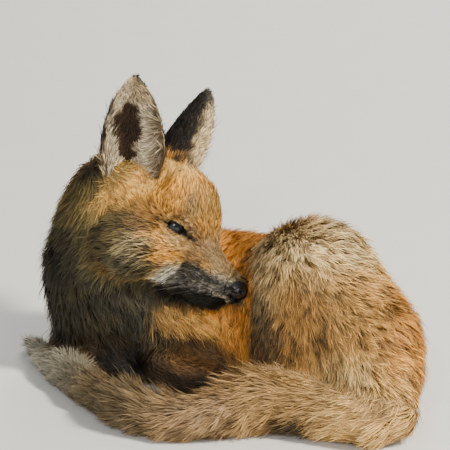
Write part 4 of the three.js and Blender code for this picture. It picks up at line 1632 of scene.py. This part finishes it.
def floor_finish():
    """A plain pale floor."""
    finish = Finish("Floor", Specular_IOR_Level=0.2)
    grain = finish.noise(30.0, 3.0, finish.place())
    finish.feed("Base Color", finish.between(grain, (0.66, 0.65, 0.62), (0.7, 0.69, 0.66)))
    finish.feed("Roughness", 0.75 + grain * 0.1)
    return finish.material


# ---------------- pieces
UNDER_HAIR = 0.45  # how much of the hair's two darker colours shows on the skin
BARE_EDGE = 0.12  # the hairless part of the way from a lid's edge to the skin
LID_EDGE_COLOUR = (0.05, 0.045, 0.045)


def make_skin():
    """The one skin of body, head, lids and ears, in the coat's markings."""
    skin = hide()
    obj = new_object("Skin", skin.points, skin.triangles, hide_finish())
    fields = (skin.share, skin.kind, skin.high, skin.across, skin.inner)
    paint = coat_colour(Places(skin.points, *fields))
    bare = (skin.kind == LID) & (skin.edge < BARE_EDGE)
    tint = paint.root * UNDER_HAIR + paint.body * UNDER_HAIR
    tint[bare] = LID_EDGE_COLOUR
    put(obj, "tint", np.concatenate([linear(np.clip(tint, 0.02, 1)), np.ones((len(tint), 1))], 1))
    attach(obj, "root")
    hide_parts(*FLESH, *EARS)
    return obj


def ball_mesh(rows, columns):
    """A unit ball about x, its first point ahead: directions and faces."""
    polar = np.linspace(0, math.pi, rows + 1)[1:-1]
    round_angle = np.arange(columns) / columns * 2 * math.pi
    ring = np.stack([np.zeros(columns), np.cos(round_angle), np.sin(round_angle)], 1)
    body = [math.cos(p) * array(1, 0, 0) + math.sin(p) * ring for p in polar]
    points = np.concatenate([array(1, 0, 0)[None], *body, array(-1, 0, 0)[None]])
    number = 1 + np.arange((rows - 1) * columns).reshape(rows - 1, columns)
    after = np.roll(number, -1, 1)
    quads = np.stack([number[:-1], number[1:], after[1:], after[:-1]], -1).reshape(-1, 4)
    last = len(points) - 1
    front = np.stack([np.zeros(columns, int), number[0], after[0]], 1)
    back = np.stack([np.full(columns, last), after[-1], number[-1]], 1)
    return points, [quads, np.concatenate([front, back])]


def make_eye(side, finish):
    """An eyeball with a bulging cornea, facing out of its socket."""
    ball, out, along, up = eye_frame(side)
    points, faces = ball_mesh(48, 64)
    ahead = points[:, 0]
    cornea = EYE["cornea"] * ramp(ahead, 0.72, 1.0)
    axes = np.stack([out, along, up * np.sign(dot(np.cross(out, along), up))])
    size = EYE["r"] + cornea
    local = ball + (points * size[:, None]) @ axes
    name = "Eye_left" if side > 0 else "Eye_right"
    obj = new_object(name, head.world(local * MM), faces, finish)
    put(obj, "spot", np.stack([points[:, 1], points[:, 2], ahead], 1) * EYE["r"])
    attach(obj, "root")
    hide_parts("eye_left" if side > 0 else "eye_right")
    return obj


def make_nose():
    """The nose pad: a broad soft wedge with a comma of a nostril each side and a split below."""
    way, faces = ball_mesh(96, 128)
    x, y, z = way.T
    shape = way * NOSE["half"]
    shape[:, 1] *= 1 + 0.1 * z
    shape[:, 2] += 0.9 * ramp(x, 0.1, 0.9) * (z > 0) * z
    shape[:, 0] -= 1.1 * ramp(z, 0.1, 1.0) * ramp(x, 0, 0.6)
    from_hole = folded(way) - unit(array(0.88, 0.42, -0.02))
    from_comma = folded(way) - unit(array(0.6, 0.76, -0.2))
    hole = np.linalg.norm(from_hole / array(0.3, 0.16, 0.17), axis=1)
    comma = np.linalg.norm(from_comma / array(0.3, 0.28, 0.09), axis=1)
    dent = np.maximum(1 - ramp(hole, 0.4, 1.15), 0.8 * (1 - ramp(comma, 0.4, 1.15)))
    wing = np.exp(-(((hole - 1.6) / 0.5) ** 2)) * 0.4
    split = np.exp(-((y / 0.055) ** 2)) * ramp(x, 0.2, 0.6) * (1 - ramp(z, 0.25, 0.55))
    shape += way * (wing - 2.6 * dent - 0.7 * split)[:, None]
    obj = new_object("Nose", head.world((NOSE["middle"] + shape) * MM), faces, nose_finish())
    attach(obj, "root")
    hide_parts("nose")
    return obj


def tube(points, radii, sides):
    """A tapered tube through points, closed at both ends: points and faces."""
    points = np.asarray(points, float)
    ahead = unit(np.gradient(points, axis=0))
    side = unit(np.cross(ahead, array(0.13, 0.21, 0.97)))
    top = np.cross(side, ahead)
    angle = np.arange(sides) / sides * 2 * math.pi
    ring = np.cos(angle)[None, :, None] * side[:, None] + np.sin(angle)[None, :, None] * top[:, None]
    body = (points[:, None] + ring * np.asarray(radii)[:, None, None]).reshape(-1, 3)
    number = np.arange(len(body)).reshape(len(points), sides)
    after = np.roll(number, -1, 1)
    quads = np.stack([number[:-1], after[:-1], after[1:], number[1:]], -1).reshape(-1, 4)
    ends = [[number[0][0], number[0][i + 1], number[0][i]] for i in range(1, sides - 1)]
    ends += [[number[-1][0], number[-1][i], number[-1][i + 1]] for i in range(1, sides - 1)]
    return body, np.concatenate([as_triangles(quads), np.array(ends)])


WHISKER_ROWS = (-22.5, -25.5, -28.5)  # how high the rows on the lips are, in the head's frame
WHISKERS_IN_ROW = 4
BROW_WHISKERS = [(array(37, 15, 17), 22, 0.1), (array(35, 17, 17), 26, 0.1)]
WHISKER_SIDES = 5


def whisker_roots():
    """The left side's whiskers: where each stands, how long it is and how thick at its root."""
    roots = []
    for row, up in enumerate(WHISKER_ROWS):
        for column in range(WHISKERS_IN_ROW):
            roots.append((array(72 - 5.5 * column - 1.5 * row, 12, up), 22 + 6 * column, 0.13))
    return roots + BROW_WHISKERS


def make_whiskers():
    """Fine whiskers in rows on the lips, a few over the eyes, sweeping back."""
    rng = np.random.default_rng(11)
    tree = tree_of(hide().points, hide().triangles)
    pieces, along = [], []
    t = np.linspace(0, 1, 9)[:, None]
    droop = head.away(array(-0.35, 0, -0.3))
    for place, long, thick in whisker_roots():
        for side in (1, -1):
            start = head.world(place * array(1, side, 1) * MM)
            found, normal, _, _ = tree.find_nearest(Vector(start))
            lean = 0.85 + 0.3 * rng.random()
            away = head.away(unit(array(-0.55 * lean, side * 0.8, -0.12 + 0.25 * rng.random())))
            out = unit(np.array(normal) * 0.55 + away)
            size = long * (0.85 + 0.3 * rng.random()) * MM
            line = np.array(found) + size * (out * t + 0.55 * droop * t * t)
            pieces.append(tube(line, thick * MM * (1 - 0.85 * t[:, 0]), WHISKER_SIDES))
            along.append(np.repeat(t[:, 0], WHISKER_SIDES))
    obj = new_object("Whiskers", *joined(pieces), whisker_finish())
    put(obj, "along", np.concatenate(along))
    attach(obj, "root")
    return obj


# Which way each paw points, and how far apart its claws are, in mm.
PAWS = {
    "forepaw_left": ((0.95, -0.22, -0.2), 5.4),
    "forepaw_right": ((0.95, -0.3, -0.15), 5.2),
    "hindpaw_left": ((-0.97, 0.22, -0.1), 5.0),
    "hindpaw_right": ((-0.99, 0.06, -0.1), 5.0),
}
CLAWS_ON_PAW = 4
CLAW = {"length": 6.5, "droop": 2.4, "radius": 1.0, "tip": 0.12, "sides": 8}  # in mm


def make_claws():
    """Four small hooked claws at the end of each paw."""
    pieces, along = [], []
    t = np.linspace(0, 1, 7)[:, None]
    radii = CLAW["radius"] * MM * (1 - t[:, 0] ** 1.6) + CLAW["tip"] * MM
    for node, (way, gap) in PAWS.items():
        low, high = (np.array(corner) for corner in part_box(node))
        way = unit(array(*way))
        side = unit(np.cross(array(0, 0, 1), way))
        tip_x = high[0] if way[0] > 0 else low[0]
        points, _ = node_mesh(node)
        centre = points[np.abs(points[:, 0] - tip_x) < 6 * MM].mean(0)
        for toe in range(CLAWS_ON_PAW):
            from_middle = toe - (CLAWS_ON_PAW - 1) / 2
            reach = -4.5 - 0.35 * from_middle**2
            root = centre + side * (from_middle * gap) * 0.8 * MM + way * (reach + 4) * MM
            root[2] = max(root[2] * 0.75, 4.2 * MM)
            line = root + (way * CLAW["length"] * t - array(0, 0, 1) * CLAW["droop"] * t**2) * MM
            line[:, 2] = np.maximum(line[:, 2], 1.0 * MM)
            pieces.append(tube(line, radii, CLAW["sides"]))
            along.append(np.repeat(t[:, 0], CLAW["sides"]))
    obj = new_object("Claws", *joined(pieces), horn_finish())
    put(obj, "along", np.concatenate(along))
    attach(obj, "root")
    return obj


# Each piece of the coat: its name, its slot, how many tufts it has at full thickness, and its seed.
COATS = {
    "face": ("coat_head", 38500, 21),
    "muzzle": ("coat_head", 15000, 30),
    "crown": ("coat_head", 32000, 22),
    "ears": ("coat_ear", 26000, 23),
    "neck": ("coat_body", 30000, 24),
    "chest": ("coat_body", 31000, 25),
    "thigh": ("coat_rump", 39000, 26),
    "rump": ("coat_rump", 32000, 27),
    "tail": ("coat_tail", 38000, 28),
    "legs": ("coat_dark", 17000, 29),
}


def coat_part():
    """For each triangle of the skin, the name of the coat piece that it carries."""
    skin = hide()
    first = skin.triangles[:, 0]
    node = skin.share[first].argmax(1)
    names = {
        "neck": "neck",
        "chest": "chest",
        "belly": "chest",
        "hindleg_left": "thigh",
        "hindquarters": "rump",
        "hindleg_right": "rump",
        **dict.fromkeys(LEGS + FOREPAWS + HINDPAWS, "legs"),
        **dict.fromkeys(TAIL, "tail"),
        "head": "crown",
    }
    part = np.array([names[FLESH[n]] for n in node], dtype=object)
    face = (part == "crown") & (skin.local[first][:, 0] > 14)
    part[face] = "face"
    part[face & (skin.local[first][:, 0] > 50)] = "muzzle"
    part[skin.kind[first] >= LEFT_EAR] = "ears"
    return part


def grow_piece(name):
    """The tufts of one piece of the coat."""
    slot, count, seed = COATS[name]
    count = int(count * bpy.context.scene.cub_sizes.coat_thickness)
    hair = bpy.data.materials.get("Hair") or hair_finish()
    return grow("Coat_" + name, np.nonzero(coat_part() == name)[0], count, seed, hair)


# ---------------- stage
FLOOR_HALF = 6.0  # in metres, as are the places below
LAMP_AIM = (0.01, 0, 0.09)
CAMERA_AIM = Vector((0.0038, 0, 0.1224))
CAMERA_DISTANCE = 2.545
NEAREST_SEEN = 0.05
SENSOR = 36.0  # the sensor's width and the lens, in mm
LENS = 297.1


def look_at(obj, target):
    """Turns a lamp or the camera towards a place."""
    way = Vector(target) - obj.location
    obj.rotation_mode = "QUATERNION"
    obj.rotation_quaternion = way.to_track_quat("-Z", "Y")


def lamp(name, place, power, size, colour, mirrored=True):
    """A round lamp that shines on the middle of the cub."""
    data = bpy.data.lights.new(name, "AREA")
    data.energy = power
    data.shape = "DISK"
    data.size = size
    data.color = colour
    obj = bpy.data.objects.new(name, data)
    obj.location = place
    obj.visible_glossy = mirrored
    bpy.context.scene.collection.objects.link(obj)
    look_at(obj, LAMP_AIM)
    return obj


def make_stage():
    """The floor, the light all round and the lamps."""
    stage = bpy.context.scene.cub_stage
    corners = FLOOR_HALF * array((-1, -1, 0), (1, -1, 0), (1, 1, 0), (-1, 1, 0))
    floor = new_object("Floor", corners, np.array([[0, 1, 2, 3]]), floor_finish(), False)
    world = bpy.data.worlds.new("Studio")
    world.use_nodes = True
    world.node_tree.nodes["Background"].inputs["Color"].default_value = (0.95, 0.97, 1.0, 1)
    world.node_tree.nodes["Background"].inputs["Strength"].default_value = stage.room_light
    bpy.context.scene.world = world
    power = stage.key_light
    lamp("Key", (1.25, -0.75, 1.6), power, 0.3, (1.0, 0.95, 0.84))
    lamp("Catch", (-0.3, -2.0, 1.4), power * 0.2, 0.26, (1.0, 0.97, 0.93))
    lamp("Fill", (-1.3, -1.1, 0.8), power * 0.03, 1.4, (0.92, 0.96, 1.0), mirrored=False)
    lamp("Low", (0.5, -1.9, 0.35), power * 0.22, 0.5, (1.0, 0.95, 0.86), mirrored=False)
    lamp("Back", (0.3, 1.4, 1.1), power * 0.25, 0.9, (1.0, 0.97, 0.92), mirrored=False)


def make_camera():
    """A camera with a long lens, which looks a little down on the cub from in front."""
    data = bpy.data.cameras.new("Camera")
    data.sensor_width = SENSOR
    data.lens = LENS
    data.clip_start = NEAREST_SEEN
    camera = bpy.data.objects.new("Camera", data)
    drop = bpy.context.scene.cub_stage.camera_drop
    way = Vector((0, math.cos(drop), -math.sin(drop)))
    camera.location = CAMERA_AIM - way * CAMERA_DISTANCE
    bpy.context.scene.collection.objects.link(camera)
    look_at(camera, CAMERA_AIM)
    bpy.context.scene.camera = camera


# ---------------- what a user can change
def colour_property(name, description, seen_colour):
    """A colour that the user can change, given as it is seen."""
    default = tuple(float(c) for c in linear(seen_colour))
    return FloatVectorProperty(
        name=name, description=description, subtype="COLOR", size=3, default=default, min=0, max=1
    )


class CubSizes(bpy.types.PropertyGroup):
    """How the coat is made."""

    coat_thickness: FloatProperty(
        name="Coat thickness",
        description="Part of the full number of tufts that is grown",
        default=1.0,
        min=0.02,
        max=1.0,
        subtype="FACTOR",
    )


class CubColours(bpy.types.PropertyGroup):
    """The coat's chief colours."""

    orange: colour_property("Orange", "The flank and the middle of the body", (0.82, 0.5, 0.16))
    tan: colour_property("Tan", "The haunch and rump", (0.52, 0.37, 0.17))
    cream: colour_property("Cream", "Hair tips on the haunch", (0.79, 0.61, 0.35))
    fawn: colour_property("Fawn", "The tail", (0.54, 0.42, 0.27))
    black: colour_property("Black", "Lips and eye rims", (0.055, 0.05, 0.05))


class CubStage(bpy.types.PropertyGroup):
    """Lights and camera."""

    key_light: FloatProperty(
        name="Key light", description="Power of the chief lamp", default=80.0, min=0, unit="POWER"
    )
    room_light: FloatProperty(
        name="Room light", description="Strength of the light all round", default=0.42, min=0, max=5
    )
    camera_drop: FloatProperty(
        name="Camera drop",
        description="How far below level the camera looks",
        default=math.radians(20),
        min=0,
        max=math.pi / 2,
        subtype="ANGLE",
    )


# ---------------- operators
class CUB_OT_camera(bpy.types.Operator):
    """Places the camera"""

    bl_idname = "cub.camera"
    bl_label = "Camera"

    def execute(self, context):
        make_camera()
        return {"FINISHED"}


class CUB_OT_skin(bpy.types.Operator):
    """Makes the one skin of body, head, lids and ears"""

    bl_idname = "cub.skin"
    bl_label = "Skin"

    def execute(self, context):
        make_skin()
        return {"FINISHED"}


class CUB_OT_eyes(bpy.types.Operator):
    """Makes both eyeballs"""

    bl_idname = "cub.eyes"
    bl_label = "Eyes"

    def execute(self, context):
        finish = eye_finish()
        for side in (1, -1):
            make_eye(side, finish)
        return {"FINISHED"}


class CUB_OT_nose(bpy.types.Operator):
    """Makes the nose pad"""

    bl_idname = "cub.nose"
    bl_label = "Nose"

    def execute(self, context):
        make_nose()
        return {"FINISHED"}


class CUB_OT_whiskers(bpy.types.Operator):
    """Makes the whiskers"""

    bl_idname = "cub.whiskers"
    bl_label = "Whiskers"

    def execute(self, context):
        make_whiskers()
        return {"FINISHED"}


class CUB_OT_claws(bpy.types.Operator):
    """Makes the claws of all four paws"""

    bl_idname = "cub.claws"
    bl_label = "Claws"

    def execute(self, context):
        make_claws()
        return {"FINISHED"}


class CUB_OT_coat(bpy.types.Operator):
    """Grows the coat on one part of the body"""

    bl_idname = "cub.coat"
    bl_label = "Coat"

    part: EnumProperty(
        name="Part",
        description="The part of the body to cover",
        items=[(name, name.capitalize(), "The coat of the " + name) for name in COATS],
        default="face",
    )

    def execute(self, context):
        grow_piece(self.part)
        return {"FINISHED"}


class CUB_OT_stage(bpy.types.Operator):
    """Makes the floor and the lights"""

    bl_idname = "cub.stage"
    bl_label = "Stage"

    def execute(self, context):
        make_stage()
        return {"FINISHED"}


class CUB_PT_panel(bpy.types.Panel):
    """The cub's sizes, colours and pieces"""

    bl_label = "Red fox cub"
    bl_idname = "CUB_PT_panel"
    bl_space_type = "VIEW_3D"
    bl_region_type = "UI"
    bl_category = "Cub"

    def draw(self, context):
        layout = self.layout
        for group in (context.scene.cub_sizes, context.scene.cub_colours, context.scene.cub_stage):
            box = layout.box()
            for name in type(group).__annotations__:
                box.prop(group, name)
        for operator in OPERATORS:
            if operator is CUB_OT_coat:
                for part in COATS:
                    layout.operator(operator.bl_idname, text="Coat: " + part).part = part
            else:
                layout.operator(operator.bl_idname)


GROUPS = {"cub_sizes": CubSizes, "cub_colours": CubColours, "cub_stage": CubStage}
OPERATORS = (
    CUB_OT_camera,
    CUB_OT_skin,
    CUB_OT_eyes,
    CUB_OT_nose,
    CUB_OT_whiskers,
    CUB_OT_claws,
    CUB_OT_coat,
    CUB_OT_stage,
)


def register():
    for cls in (*GROUPS.values(), *OPERATORS, CUB_PT_panel):
        bpy.utils.register_class(cls)
    for name, group in GROUPS.items():
        setattr(bpy.types.Scene, name, PointerProperty(type=group))


def unregister():
    for name in GROUPS:
        delattr(bpy.types.Scene, name)
    for cls in reversed((*GROUPS.values(), *OPERATORS, CUB_PT_panel)):
        bpy.utils.unregister_class(cls)


def main():
    register()
    bpy.ops.cub.camera()
    bpy.ops.cub.skin()
    bpy.ops.cub.eyes()
    bpy.ops.cub.nose()
    bpy.ops.cub.whiskers()
    bpy.ops.cub.claws()
    for part in COATS:
        bpy.ops.cub.coat(part=part)
    bpy.ops.cub.stage()


if __name__ == "__main__":
    main()
